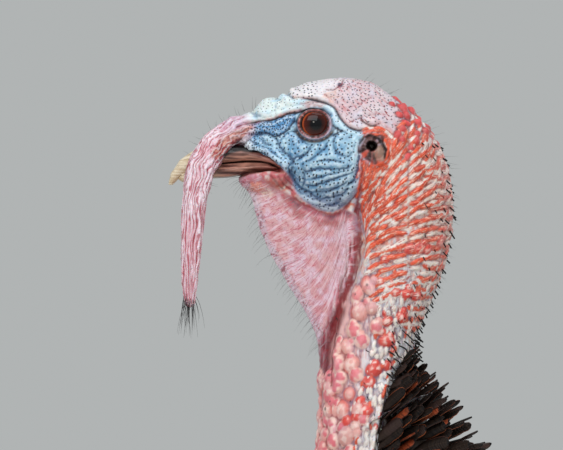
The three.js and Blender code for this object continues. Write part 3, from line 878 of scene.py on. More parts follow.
def creased(flat, outward):
    """Sinks the creases into the head, raises the folds between them, and says how much painted shade each
    crease gets.
    """
    head = (flat[:, 2] > -125) & (flat[:, 0] < 36) & (flat[:, 0] > -38)
    spots = flat[head]
    wander = np.stack([noise(spots, 3.0, seed) for seed in (31, 32)], 1) * 0.45
    wander += np.stack([noise(spots, 1.3, seed) for seed in (33, 34)], 1) * 0.15
    uneven = 0.75 + 0.5 * noise(spots, 2.4, 35)
    side_view = spots[:, [0, 2]] + wander
    sink = np.zeros(len(spots))
    swell = np.zeros(len(spots))
    crease_shade = np.zeros(len(spots))
    for line, depth, width, shade_strength in CREASES:
        away, where = along_line(side_view, curve_through(line, 4))
        ends = step(0, 0.14, where) * step(1, 0.86, where)
        shape = np.exp(-(away / width) ** 1.3) * (0.3 + 0.7 * ends)
        sink = np.maximum(sink, depth * shape)
        # Painted shade: a thin dark line along each crease, patchy on the fainter ones.
        thin = 0.44 if shade_strength > 1 else 0.42
        patchy_shade = 1.0 if shade_strength > 1 else uneven
        crease_shade = np.maximum(crease_shade, shade_strength * np.exp(-(away / thin) ** 1.6) * (0.2 + 0.8 * ends) * patchy_shade)
        swell = np.maximum(swell, 0.4 * depth * np.exp(-((away - 2.3 * width) / (1.2 * width)) ** 2))
    lids, _ = lid_distance(spots)
    keep = step(0.2, 1.6, lids)
    # The lower cheek is crossed by fine folds that follow its curve.
    round_cheek = np.hypot(spots[:, 0] - 5, (spots[:, 2] + 9) * 0.9)
    arcs = noise(np.stack([round_cheek / 1.25, spots[:, 0] / 9, spots[:, 2] / 9], 1), 1.0, 36)
    cheek = step(-1, 2, inside(spots[:, [0, 2]], CHEEK)) * step(-16, -22, spots[:, 2])
    rise = (swell - sink) * keep + 0.3 * arcs * cheek
    rise -= 1.8 * step(-0.4, 0.7, inside(spots[:, [0, 2]], BARE_HORN)) * (np.abs(spots[:, 1]) > 3)
    moved = flat.copy()
    moved[head] += outward[head] * rise[:, None]
    crease_shade_of = np.zeros(len(flat))
    crease_shade_of[head] = crease_shade * keep
    return moved, crease_shade_of


def lidded(flat):
    """Opens the lids over each eyeball: a thin rim above, a band and a row of beads below."""
    for _, side in SIDES:
        centre = np.array([0, side * EYE_SIDE, 0])
        out = flat - centre
        away = np.linalg.norm(out, axis=1)
        lids, turn = lid_distance(flat)
        near = (side * flat[:, 1] > 8) & (lids < 4.5) & (away < 14)
        low = step(0.1, -0.5, np.sin(turn))
        uneven = 1 + 0.35 * noise(flat, 1.1, 37)
        rim = (0.3 + 0.15 * low) * hump(lids, 0.6, 0.5) * uneven
        groove = -0.4 * hump(lids, 1.3, 0.3)
        second = 0.35 * hump(lids, 2.0, 0.5) * low * (0.6 + 0.5 * np.cos(turn * 24)) * uneven
        closing = step(-0.05, -0.75, lids)
        wanted = away + (rim + groove + second) * (1 - closing)
        wanted = wanted * (1 - closing) + (EYE_RADIUS - 1.3) * closing
        flat = np.where(near[:, None], centre + out * (wanted / np.maximum(away, 1e-6))[:, None], flat)
    return flat


def snood_place(flat):
    """For each point: how far along the snood, its angle round it and its distance from the middle line."""
    line = curve_through(SNOOD_LINE, 5)
    away, where = along_line(flat, line)
    spot = where * (len(line) - 1)
    low = np.clip(spot.astype(int), 0, len(line) - 2)
    centre = line[low] + (line[low + 1] - line[low]) * (spot - low)[:, None]
    out = flat - centre
    length = np.linalg.norm(np.diff(line, axis=0), axis=1).sum()
    tangent = unit(line[low + 1] - line[low])
    across = np.cross(tangent, np.array([0, 1, 0]))
    angle = np.arctan2(out[:, 1], np.sum(out * across, axis=1))
    return where * length, angle, away


# ---- the bare skin: fine shape and colour ----
FRONT_BULGE = [(-33, 5), (-31, 1.2), (-19.4, 2.2), (-14.2, 4.4), (-9, 5.6), (-4.3, 6.8), (0, 7.6),
               (4.6, 6.8), (8.2, 4.2), (10.2, 1.2), (12.4, 1), (9.2, 6.5), (6.8, 8.6), (4.1, 9.9),
               (-3.9, 11.3), (-9.6, 12), (-13, 19), (-22, 16), (-30, 10)]
LORE = [(-36, -1), (-27.1, 0.6), (-19.4, 1.5), (-14.2, 3.5), (-8.4, 4.4), (-8.6, 1.6), (-13.2, -4.2),
        (-16.8, -6.3), (-22.8, -4.2), (-30, -5.6)]
CROWN = [(-12, 12), (-3.9, 11.3), (4.1, 9.9), (9.2, 6.5), (12.8, 0.8), (17.5, -2.5), (20.2, -3.1),
         (24, -1.3), (33, -3), (37, -6), (44, -4), (50, -10), (66, -16), (66, 14), (40, 32), (0, 32),
         (-14, 22)]
GAPE_LINE = [(-34, -25), (-24, -23), (-15, -23), (-11, -26), (-6, -32), (1, -37.5)]
JAW_LINE = [(-12, -24), (-10.8, -28), (-6.3, -34.6), (0.5, -38), (7.2, -40), (15, -38.5), (19.6, -31)]
DEWLAP = [(-37, -24), (-28, -21.4), (-18.9, -27), (-10.8, -31.5), (-6.3, -35.3), (0.5, -38.4), (7.2, -40.3),
          (15, -38.5), (20.4, -45.5), (18.6, -65.7), (11.9, -81.5), (6.4, -99.5), (4.6, -117), (-12, -117),
          (-44, -60)]
PALE_BULGE = srgb(220, 232, 229)
PALE_CROWN = srgb(230, 225, 229)
PINK_CROWN = srgb(207, 178, 186)
FACE_BLUE = srgb(112, 172, 214)
FACE_PALE = srgb(176, 212, 230)
LORE_BLUE = srgb(70, 138, 194)
# The painted shade of the creases on the blue skin.
CREASE_SHADE_BLUE = srgb(24, 40, 74)
# Near black: for pores and dark lines, and for painted shade in the deepest creases, folds and hollows.
NEAR_BLACK = srgb(16, 10, 14)
JAW_LILAC = srgb(142, 158, 188)
GAPE_RED = srgb(178, 84, 104)
DEWLAP_PINK = srgb(224, 174, 178)
SNOOD_PINK = srgb(224, 176, 188)
SNOOD_PALE = srgb(241, 220, 230)
SNOOD_RED = srgb(196, 66, 84)
FOLD_RED = srgb(104, 16, 30)
NECK_CREAM = srgb(234, 222, 212)
NECK_BLUISH = srgb(196, 208, 222)
NECK_ORANGE = srgb(226, 96, 54)
NAPE_CORAL = srgb(208, 118, 112)
EAR_GREY = srgb(160, 130, 116)
EAR_HOLE_SHADE = srgb(26, 14, 14)


def dewlap_front(z):
    """Where the front edge of the dewlap hangs at each height."""
    return np.interp(z, (-113, -99, -81, -52, -40, -27, -23), (3.6, 3.6, -6.3, -23.4, -27, -31, -36))


def dewlap_fan(flat):
    """Places on the dewlap along and across its fine wrinkles, which steepen towards the neck."""
    x, z = flat[:, 0], flat[:, 2]
    across = z - 0.35 * x - 5.1 * np.exp((np.minimum(x, 15) + 2.2) / 8.5)
    sway = noise(flat, 7.0, 48) * 1.0 + noise(flat, 2.6, 49) * 0.3
    return np.stack([x + 0.4 * z, across + sway, flat[:, 1]], 1)


# How far the top line of the forehead is raised at each x: a dip behind the snood, then two bulges.
BROW_LINE = [(-39.5, 0), (-37.7, 0.6), (-35.3, -0.6), (-32.8, -2.0), (-30.9, -2.3), (-28.9, -1.9),
             (-27.3, -1.9), (-26, -1.4), (-25, -0.2), (-23.1, 1.1), (-21.1, 0.9), (-19.2, 0), (-17.2, -1.0),
             (-16.2, -0.3), (-14.3, -0.8), (-11.9, -0.5), (-10.5, 0)]


def browed(flat):
    """Shapes the top line of the forehead."""
    at, rise = np.array(BROW_LINE).T
    shifted = flat.copy()
    shifted[:, 2] += np.interp(flat[:, 0], at, rise) * step(-2, 3, flat[:, 2])
    return shifted


def folded(flat, outward, away_from_lumps):
    """Small wrinkles: long ones on the snood, crossed ones on the dewlap, upright ones low on the neck."""
    x, z = flat[:, 0], flat[:, 2]
    along, angle, away = snood_place(flat)
    snood = step(4, 14, along) * step(10, 8.2, away)
    angle = angle + 0.2 * noise(np.stack([along / 5, angle * 1.5, angle * 0], 1), 1.0, 40)
    bunch = noise(on_tube(along / 10, angle, 3.4), 1.0, 41)
    fine = noise(on_tube(along / 5, angle, 6.2), 1.0, 42)
    strand = 0.6 * bunch + 0.6 * fine
    rise = snood * 0.6 * strand
    dewlap = step(-0.5, 2.5, inside(flat[:, [0, 2]], DEWLAP))
    fan = dewlap_fan(flat)
    first = noise(fan, (12, 1.6, 4), 43)
    second = noise(np.stack([fan[:, 1] / 9, x / 2.4, flat[:, 1] / 4], 1), 1.0, 44)
    rise += dewlap * (0.2 * first + 0.12 * second)
    neck = (1 - dewlap) * (1 - snood) * step(18, 24, x - 0.12 * np.minimum(0, z + 60)) * step(4, -6, z)
    low = step(-58, -76, z)
    turn_round = np.arctan2(flat[:, 1], x - 40) * 22
    fibres = noise(np.stack([z / 7, turn_round / 1.7, x * 0 + 3], 1), 1.0, 45)
    rise += neck * low * 0.38 * fibres * away_from_lumps
    crown = step(0, 3, inside(flat[:, [0, 2]], CROWN)) * step(2, 14, x)
    near, second_near, _ = cells(flat, 3.1, 46)
    rise += crown * (0.12 * step(0.02, 0.3, second_near - near) - 0.08)
    face = step(-1, 2, inside(flat[:, [0, 2]], BLUE_FACE))
    near, second_near, _ = cells(flat, 2.1, 47)
    rise += face * (0.14 * step(0.02, 0.35, second_near - near) - 0.08)
    rise *= off_eye(flat, 0.5, 3)
    return flat + outward * rise[:, None], {"snood": snood, "dewlap": dewlap, "neck": neck, "crown": crown,
                                            "face": face, "along": along, "angle": angle, "strand": strand}


def eared(flat):
    """Sinks each ear's opening and dish, raises its rim, and folds the skin round them."""
    x, z = flat[:, 0], flat[:, 2]
    wobble = 0.2 * noise(flat, 3.0, 56) + 0.12 * noise(flat, 1.3, 57)
    lean = math.radians(35)
    along = (x - EAR_HOLE[0]) * math.cos(lean) - (z - EAR_HOLE[1]) * math.sin(lean)
    across = (x - EAR_HOLE[0]) * math.sin(lean) + (z - EAR_HOLE[1]) * math.cos(lean)
    hole = np.hypot(along / EAR_HOLE[2], across / EAR_HOLE[3]) + 1.3 * wobble
    rim = np.hypot((x - EAR_RIM[0]) / EAR_RIM[2], (z - EAR_RIM[1]) / EAR_RIM[3]) + wobble
    patch = np.hypot((x - 29.4) / 2.5, (z + 13.6) / 3.4)
    around = np.arctan2(z - EAR_HOLE[1], x - EAR_HOLE[0])
    pleats = noise(np.stack([around * 4.5, rim * 1.6, np.sign(flat[:, 1])], 1), 1.0, 64)
    inward = 8 * step(1.1, 0.4, hole) + 1.2 * step(1.0, 0.7, rim)
    inward -= 0.8 * hump(rim, 1.04, 0.13) * step(-8, 2, x - EAR_RIM[0] + 4)
    inward -= 0.9 * step(1.2, 0.3, patch)
    inward -= 0.7 * pleats * step(1.3, 0.9, rim) * step(0.9, 1.3, hole) * step(0.8, 1.2, patch)
    sideways = np.sign(flat[:, 1]) * (np.abs(flat[:, 1]) > 6)
    moved = flat.copy()
    moved[:, 1] -= sideways * inward * (rim < 1.6)
    return moved, hole, rim, patch, pleats


def lump_lie(flat, lumps, nearest):
    """Each point's place along and across its own lump, and the lump's number for a third measure."""
    turns = np.array([lump.turn for lump in lumps])[nearest]
    away = flat - np.array([lump.centre for lump in lumps])[nearest]
    along = np.sum(away * turns[:, 0], axis=1)
    across = np.sum(away * turns[:, 1], axis=1)
    return np.stack([along, across, nearest * 3.7], 1)


def lump_field(flat, lumps):
    """Which lump each point belongs to, 1 on it and 0 off it, and how far out it is: 1 at the edge."""
    order = np.argsort(flat[:, 2])
    heights = flat[order, 2]
    closest = np.full(len(flat), 9.0)
    owner = np.zeros(len(flat), int)
    for index, lump in enumerate(lumps):
        reach = lump.radii.max() * 1.6
        low, high = np.searchsorted(heights, (lump.centre[2] - reach, lump.centre[2] + reach))
        near = order[low:high]
        share = np.linalg.norm(((flat[near] - lump.centre) @ lump.turn.T) / lump.radii, axis=1)
        closer = share < closest[near]
        closest[near[closer]] = share[closer]
        owner[near[closer]] = index
    return owner, step(1.32, 1.06, closest), closest


def blend(tint, colour, mask):
    return tint + (np.asarray(colour) - tint) * mask[:, None]


class SkinSpots:
    """The places on the bare skin, and what their colours are worked out from."""

    def __init__(self, flat, masks):
        self.flat = flat
        self.x, self.z = flat[:, 0], flat[:, 2]
        self.side = flat[:, [0, 2]]
        self.cloud = noise(flat, 7.0, 51)
        self.mottle = noise(flat, 2.6, 52)
        self.speck = noise(flat, 1.2, 53)
        self.masks = masks
        self.face = step(-0.9, 0.9, inside(self.side, BLUE_FACE))
        self.bulge = step(-0.8, 1.2, inside(self.side, FRONT_BULGE))


def neck_tint(spots):
    """The neck: cream and bluish white, orange in patches near the ear, coral at the nape."""
    flat, x, z, cloud, mottle, speck = spots.flat, spots.x, spots.z, spots.cloud, spots.mottle, spots.speck
    tint = repeated(NECK_CREAM, len(flat))
    tint = blend(tint, NECK_BLUISH, step(-0.1, 0.6, mottle + 0.4 * step(-60, -80, z)) * 0.8)
    warm = step(-84, -40, z) * step(66, 48, x)
    tint = blend(tint, NECK_ORANGE,
                 step(0.05, 0.5, speck + 0.3 * cloud + 0.25 * warm) * (0.2 + 0.62 * warm))
    tint = blend(tint, NAPE_CORAL, step(50, 62, x + 3 * mottle) * 0.75 * step(-98, -70, z))
    throat = step(30, 22, x - 0.1 * (z + 80)) * step(-66, -84, z)
    tint = blend(tint, srgb(230, 176, 172), throat * 0.9)
    return tint


def crown_tint(tint, spots):
    """The pale crown, pink towards the back, with red streaks and a dark scar."""
    flat, x, z = spots.flat, spots.x, spots.z
    side, cloud, mottle, speck = spots.side, spots.cloud, spots.mottle, spots.speck
    crown = step(-1, 1.5, inside(side, CROWN))
    back = step(3, 12, x + 2.5 * cloud)
    tint = blend(tint, PALE_CROWN, crown)
    tint = blend(tint, PINK_CROWN, crown * back * (0.65 + 0.35 * cloud))
    streaks = noise(np.stack([(x - z) / 4.6, (x + z) / 1.0, flat[:, 1] / 1.6], 1), 1.0, 59)
    tint = blend(tint, srgb(196, 104, 104), crown * back * step(0.3, 0.62, streaks + 0.2 * cloud) * 0.5)
    orange = dab(x, z, (7, 12.5), (3.4, 2.6))
    tint = blend(tint, srgb(214, 148, 112), crown * step(0.3, 0.8, orange + 0.6 * speck) * 0.4)
    tint = blend(tint, srgb(212, 208, 226), crown * back * step(0.2, 0.7, -mottle) * 0.5)
    scar = dab(x, z, (11.9, 17.2), (1.7, 1.3)) + 0.3 * speck
    tint = blend(tint, srgb(48, 52, 88), crown * step(0.4, 0.8, scar) * 0.9)
    return tint


def face_tint(tint, spots):
    """The blue face, paler towards its lower and rear edges."""
    x, z, side, cloud, mottle, face = spots.x, spots.z, spots.side, spots.cloud, spots.mottle, spots.face
    tint = blend(tint, FACE_BLUE, face)
    pale = step(0.1, 0.9, 0.5 + 0.45 * mottle + 0.3 * step(8, 18, x) - 0.25 * step(-14, -30, x))
    tint = blend(tint, FACE_PALE, face * pale * 0.85)
    tint = blend(tint, LORE_BLUE,
                 face * step(0.3, 0.9, cloud + 0.5 * step(-3, -14, x) * step(-8, -20, z)) * 0.6)
    tint = blend(tint, srgb(84, 138, 182),
                 face * step(-14, -26, z + 5 * mottle) * step(8, -8, x + 4 * cloud) * 0.7)
    # Painted shade: the face darkens towards its lower edge.
    tint = blend(tint, srgb(66, 88, 120), face * step(-14, -26, z + 3 * cloud) * (0.26 + 0.14 * mottle))
    tint = blend(tint, JAW_LILAC, face * step(-27, -37, z + 3 * cloud) * 0.8)
    # Painted shade along the underside of the jaw.
    tint = blend(tint, srgb(86, 80, 112), face * step(-33, -38.5, z + 2.4 * mottle) * 0.75)
    tint = blend(tint, srgb(206, 204, 206), step(-25, -31, x) * face * step(-5, -9, z) * 0.9)
    tint = blend(tint, LORE_BLUE, step(-0.4, 1.0, inside(side, LORE)) * (0.85 + 0.15 * mottle))
    tint = blend(tint, srgb(150, 160, 190), step(-24, -33, x) * step(-0.4, 1.0, inside(side, LORE)) * 0.8)
    return tint


def snood_tint(tint, spots):
    """The pale bulges over the brow, which turn to lilac and pink along the snood."""
    flat, x, z, side = spots.flat, spots.x, spots.z, spots.side
    mottle, speck, masks, face, bulge = spots.mottle, spots.speck, spots.masks, spots.face, spots.bulge
    tint = blend(tint, PALE_BULGE, bulge)
    tint = blend(tint, FACE_PALE, bulge * step(0.0, 0.8, mottle + step(-12, 2, x)) * 0.85)
    brown = dab(x, z, (-0.5, 8.6), (6.5, 1.6))
    tint = blend(tint, srgb(176, 110, 100), step(0.2, 0.7, brown + 0.2 * speck) * 0.75)
    strand = masks["strand"] + 0.12 * speck
    tint = blend(tint, SNOOD_PINK, masks["snood"])
    tint = blend(tint, SNOOD_PALE, masks["snood"] * step(-0.02, 0.32, strand) * 0.95)
    tint = blend(tint, SNOOD_RED, masks["snood"] * step(-0.12, -0.5, strand) * 0.5)
    root = masks["snood"] * step(34, 16, masks["along"])
    tint = blend(tint, srgb(206, 184, 210), root * 0.65)
    under_root = along_line(side, [(-29, -3.2), (-35, -5.4), (-40.5, -9), (-43.6, -13.5)])[0]
    wrinkled = step(3.4, 1.6, under_root) * (1 - face)
    tint = blend(tint, srgb(208, 140, 118), wrinkled * 0.8)
    tint = blend(tint, srgb(128, 34, 38), wrinkled * step(0.05, 0.45, noise(flat, 0.9, 65)) * 0.8)
    drops = noise(on_tube(masks["along"] / 2.4, masks["angle"], 5), 1.0, 60)
    tint = blend(tint, srgb(150, 26, 40), masks["snood"] * step(0.58, 0.74, drops) * 0.8)
    # Painted shadow under the snood's root, over the nostril.
    shadow = inside(side, NOSTRIL_SHADOW) * (np.abs(flat[:, 1]) > 2)
    tint = blend(tint, NEAR_BLACK, step(-0.9, 0.5, shadow) * (shadow != 0) * 0.92)
    return tint


def dewlap_tint(tint, spots):
    """Under the jaw: the gape's red folds, then the dewlap."""
    flat, x, z, side = spots.flat, spots.x, spots.z, spots.side
    cloud, mottle, speck, face = spots.cloud, spots.mottle, spots.speck, spots.face
    jaw = step(-0.5, 1.5, inside(side, DEWLAP)) * (1 - face)
    tint = blend(tint, DEWLAP_PINK, jaw)
    tint = blend(tint, srgb(206, 116, 134), jaw * step(0.1, 0.8, cloud + 0.5 * step(-70, -100, z)) * 0.35)
    tint = blend(tint, srgb(226, 206, 224), jaw * step(-0.3, 0.6, mottle + 0.6 * step(4, 13, x)) * 0.65)
    edge = step(4.5, 2.5, x - dewlap_front(z)) * jaw
    tint = blend(tint, srgb(214, 196, 210), edge * 0.8)
    tint = blend(tint, srgb(116, 40, 52), edge * step(0.25, 0.6, speck + 0.3 * mottle) * 0.75)
    under_jaw = along_line(side, JAW_LINE)[0]
    tint = blend(tint, srgb(172, 96, 94), jaw * step(9, 3, under_jaw + 2 * mottle) * 0.75)
    tint = blend(tint, srgb(96, 58, 74), jaw * step(4.4, 1.2, under_jaw + 1.6 * mottle) * 0.8)
    horn = step(-0.8, 0.3, inside(side, BARE_HORN))
    tint = blend(tint, srgb(140, 96, 86), horn)
    gape = step(5.0, 1.0, along_line(side, GAPE_LINE)[0])
    tint = blend(tint, GAPE_RED, gape * (1 - face) * (1 - horn) * (0.6 + 0.4 * speck))
    chin = dab(x, z, (-17, -26.5), (7, 3.4))
    tint = blend(tint, srgb(160, 78, 74),
                 step(0.25, 0.8, chin + 0.3 * mottle) * (1 - face) * (1 - horn) * 0.8)
    patch = dab(x, z, (-26, -28.5), (4, 3.0))
    tint = blend(tint, srgb(230, 138, 104), step(0.3, 0.9, patch + 0.25 * speck) * (1 - face) * 0.7)
    patch = dab(x, z, (-21, -31.5), (3, 3.0))
    tint = blend(tint, srgb(240, 214, 198), step(0.3, 0.9, patch + 0.25 * speck) * (1 - face) * 0.7)
    groove = along_line(side, [(20.7, -45.5), (18.2, -66), (11.7, -81.5), (6.3, -99.5), (5.5, -112)])[0]
    strands_down = noise(flat[:, [0, 2, 1]], (0.9, 9, 2), 63)
    beside = step(7.5, 1.5, groove) * step(-44, -56, z) * jaw
    tint = blend(tint, srgb(196, 84, 92), beside * step(0.0, 0.4, strands_down) * 0.75)
    tint = blend(tint, srgb(240, 224, 226), beside * step(0.0, -0.4, strands_down) * 0.7)
    tint = blend(tint, FOLD_RED, beside * step(0.42, 0.6, np.abs(strands_down)) * 0.7)
    # Painted shade in the deep groove where the dewlap's rear meets the neck.
    tint = blend(tint, FOLD_RED, step(1.5, 0.2, groove + 0.8 * strands_down) * step(-44, -56, z) * 0.92)
    # Painted shade along the crease low behind the dewlap.
    tip = np.interp(z, (-118, -107, -98, -90, -84), (4.2, 4.2, 5.6, 8.8, 10.9))
    by_tip = step(-80, -86, z) * step(-124, -117, z) * step(4.6, 2.2, np.abs(x - tip))
    tint = blend(tint, FOLD_RED, by_tip * (0.7 + 0.25 * strands_down))
    fold = step(4.2, 1.2, along_line(side, [(20.8, -20), (20.5, -32), (20.7, -47)])[0])
    tint = blend(tint, srgb(150, 128, 150), fold * 0.7)
    return tint


def lump_tint(tint, spots, lumps, lump_places):
    """The lumps, each in its own hue; the wattles have pale mottled middles and redder edges; painted shade
    rings the foot of each lump.
    """
    flat, x, z = spots.flat, spots.x, spots.z
    cloud, speck, masks, face = spots.cloud, spots.speck, spots.masks, spots.face
    nearest, on_lump, from_middle = lump_places
    colours = np.array([LUMP_COLOURS[lump.kind] for lump in lumps])
    shift = np.random.default_rng(12).uniform(0.86, 1.12, (len(lumps), 1))
    kinds = np.array([lump.kind for lump in lumps])[nearest]
    own = (colours * shift)[nearest]
    coral = step(47, 62, x) * np.isin(kinds, (ORANGE, RED))
    own = blend(own, NAPE_CORAL, coral * 0.65)
    lilac = (kinds == PINK) * step(0.1, 0.8, noise(flat, 9.0, 54))
    own = blend(own, srgb(226, 176, 186), lilac * 0.7)
    wattle = np.isin(kinds, (PINK, RED)) * step(-40, -70, z)
    chance = np.random.default_rng(15).random(len(lumps))[nearest]
    rosy = (kinds == PINK) * step(0.4, 0.5, chance) * step(-66, -84, z)
    lie = lump_lie(flat, lumps, nearest)
    radii = np.array([lump.radii for lump in lumps])[nearest]
    from_top = np.hypot(lie[:, 0] / radii[:, 0], lie[:, 1] / radii[:, 1])
    milky = noise(flat, 1.5, 66)
    own = blend(own, srgb(246, 212, 203),
                wattle * step(-0.15, 0.25, milky) * step(1.0, 0.4, from_top) * 0.85)
    redness = np.where(kinds == RED, 0.9, step(-0.2, 0.4, cloud) * 0.7)
    edge_red = step(0.5, 0.95, from_top + 0.3 * milky) * redness
    own = blend(own, srgb(216, 70, 58), wattle * edge_red * (1 - 0.7 * rosy))
    own = blend(own, srgb(218, 84, 106), rosy * step(1.0, 0.45, from_top + 0.5 * milky) * 0.75)
    own = blend(own, srgb(250, 220, 204), rosy * step(0.62, 0.95, from_top + 0.4 * milky) * 0.6)
    from_pore = np.hypot(lie[:, 0] - 0.4, lie[:, 1]) / radii[:, 1]
    pore = wattle * step(0.24, 0.12, from_pore) * step(-0.1, 0.2, cloud)
    own = blend(own, NEAR_BLACK, pore * (radii[:, 1] > 1.8) * (np.modf(chance * 10)[0] > 0.6) * 0.8)
    tint = blend(tint, own, on_lump * np.where(kinds == CREAM, 0.7, 0.96))
    # Painted shade in the crevice round the foot of each lump: dusky pink by the pink ones, dark red
    # elsewhere, lighter by the cream ones.
    base_shade_colour = np.where((kinds == PINK)[:, None], srgb(138, 84, 106), srgb(100, 28, 30))
    base_shade_share = hump(from_middle, 1.3, 0.17) * np.clip(0.55 + 0.6 * speck + 0.3 * cloud, 0, 0.85)
    base_shade_share = base_shade_share * np.where(kinds == CREAM, 0.78, 1.0)
    tint = blend(tint, base_shade_colour, base_shade_share * (1 - face) * (1 - masks["dewlap"]))
    return tint


def with_painted_shade(tint, spots, sunk, hollow):
    """Painted shade and highlight: hollows are darker, navy on the face and red elsewhere, and crests are
    paler.
    """
    flat, x, z, mottle = spots.flat, spots.x, spots.z, spots.mottle
    speck, masks, face, bulge = spots.speck, spots.masks, spots.face, spots.bulge
    blueness = np.clip(face + bulge, 0, 1)
    # Painted shade in the hollows: red, navy on the blue skin, paler on the brow bulge's front, grey-violet
    # low on the neck.
    shade = blend(np.array(srgb(140, 36, 38)), srgb(46, 78, 120), blueness)
    shade = blend(shade, srgb(136, 158, 180), bulge * step(-2, -10, x))
    shade = blend(shade, srgb(104, 92, 116), masks["neck"] * step(-50, -70, z) * 0.8)
    tint = blend(tint, shade, np.clip(step(0.02, 0.26, hollow) * 0.8, 0, 1))
    # Painted shade in the creases, black in the darkest.
    crease_shade_colour = blend(np.array(srgb(110, 30, 40)), CREASE_SHADE_BLUE, blueness)
    tint = blend(tint, crease_shade_colour, np.clip(sunk * (0.75 + 0.2 * blueness), 0, 1))
    tint = blend(tint, NEAR_BLACK, step(0.7, 1.15, sunk) * 0.95)
    # More painted shade in the hollows between the ridges of the neck.
    tint = tint * (1 - 0.34 * masks["neck"] * step(0.0, 0.4, hollow) * step(-104, -84, z))[:, None]
    # Painted highlight on the crests: whitish on the blue skin, a little paler all over.
    crest_highlight = step(0.0, 0.22, -hollow)
    tint = blend(tint, srgb(222, 238, 246), blueness * crest_highlight * 0.5)
    tint = tint * (1 + 0.1 * crest_highlight)[:, None]
    tint = tint * (1 + 0.07 * mottle + 0.05 * speck)[:, None]
    # Painted shade: the top of the nape, the lowest throat and the cheek are a little darker.
    tint = tint * (1 - 0.15 * masks["neck"] * step(40, 54, x) * step(-64, -36, z))[:, None]
    tint = tint * (1 - 0.13 * masks["neck"] * step(-124, -138, z))[:, None]
    tint = tint * (1 - 0.13 * face * step(-24, -32, z))[:, None]
    return blend(tint, DARK_BROWN, step(0.5, 4, bare_edge(flat) + mottle))


def skin_tint(flat, masks, lumps, lump_places, sunk, hollow):
    """The colour of each point of the bare skin, with painted shade and highlights laid over it last."""
    spots = SkinSpots(flat, masks)
    tint = neck_tint(spots)
    for layer in (crown_tint, face_tint, snood_tint, dewlap_tint):
        tint = layer(tint, spots)
    tint = lump_tint(tint, spots, lumps, lump_places)
    return with_painted_shade(tint, spots, sunk, hollow)


def lid_tint(tint, flat):
    """The lids' thin red rim, the pale band and the dark beads below it, painted shade as a black line in
    the fold above them, and painted shade just inside the opening.
    """
    lids, turn = lid_distance(flat)
    by_eye = step(9, 10, np.abs(flat[:, 1])) * step(5, 4, lids)
    under = step(0.25, -0.45, np.sin(turn))
    before = step(-0.2, -0.8, np.cos(turn))
    fleck = noise(flat, 0.9, 58)
    red = step(-0.6, -0.1, lids) * step(1.1, 0.8, lids) * by_eye
    tint = blend(tint, srgb(118, 42, 36), red)
    tint = blend(tint, srgb(228, 168, 164), red * step(0.1, 0.5, fleck) * (0.2 + 0.5 * before))
    tint = blend(tint, srgb(92, 24, 24), red * step(-0.05, -0.5, fleck) * 0.7)
    band = hump(lids, 0.8, 0.42) * under * (1 - 0.6 * before)
    tint = blend(tint, srgb(206, 190, 212), by_eye * band * np.clip(0.5 + 0.9 * fleck, 0, 1))
    behind = hump(lids, 0.8, 0.4) * step(0.7, 0.95, np.cos(turn))
    tint = blend(tint, srgb(206, 190, 214), by_eye * behind * 0.8)
    row = np.exp(-(np.abs(lids - 2.0) / 0.9) ** 4) * step(0.1, -0.6, np.sin(turn))
    tint = blend(tint, srgb(32, 18, 22), by_eye * row)
    bead = row * step(0.5, 0.95, np.cos(turn * 24)) * hump(lids, 1.9, 0.35)
    tint = blend(tint, srgb(150, 118, 96), by_eye * bead * 0.6)
    # Painted shade in the fold above the eye.
    fold = np.exp(-(np.abs(lids - 1.3) / 0.38) ** 2) * (1 - under)
    tint = blend(tint, NEAR_BLACK, by_eye * fold * 0.95)
    # Painted shade just inside the opening, where the lids tuck in against the eyeball.
    return blend(tint, srgb(30, 12, 12), by_eye * step(0.12, -0.1, lids))


def ear_tint(tint, flat, shapes):
    """The ear's dark pleated dish with painted shade in the hollows of its pleats, its pale front rim, the
    brown patch behind the hole, and the hole, painted near black as shade.
    """
    hole, rim, patch, pleats = shapes
    sides = step(6, 8, np.abs(flat[:, 1]))
    dish = step(1.08, 0.9, rim) * sides
    low = step(-9, -14, flat[:, 2])
    tint = blend(tint, srgb(104, 60, 58), dish * 0.9)
    tint = blend(tint, srgb(206, 72, 46), dish * low * step(-0.05, 0.35, pleats) * 0.9)
    tint = blend(tint, srgb(172, 150, 164), dish * (1 - low) * step(0.1, 0.5, pleats) * 0.7)
    # Painted shade in the hollows between the pleats.
    tint = blend(tint, srgb(46, 18, 22), dish * step(-0.1, -0.45, pleats) * 0.8)
    streaks = noise(flat[:, [0, 2, 1]], (0.8, 3, 2), 55)
    tint = blend(tint, EAR_GREY, sides * step(1.25, 0.85, patch) * (0.85 + 0.3 * streaks))
    front = hump(rim, 1.02, 0.14) * step(1, -4, flat[:, 0] - EAR_RIM[0]) * sides
    tint = blend(tint, srgb(168, 150, 166), front * np.clip(0.6 + 0.8 * streaks, 0, 1))
    brow_of_ear = along_line(flat[:, [0, 2]], EAR_BROW)[0]
    tint = blend(tint, NEAR_BLACK, sides * step(0.85, 0.3, brow_of_ear + 0.3 * streaks) * 0.9)
    # Painted shade: the ear's hole is near black.
    return blend(tint, EAR_HOLE_SHADE, sides * step(1.2, 0.85, hole))


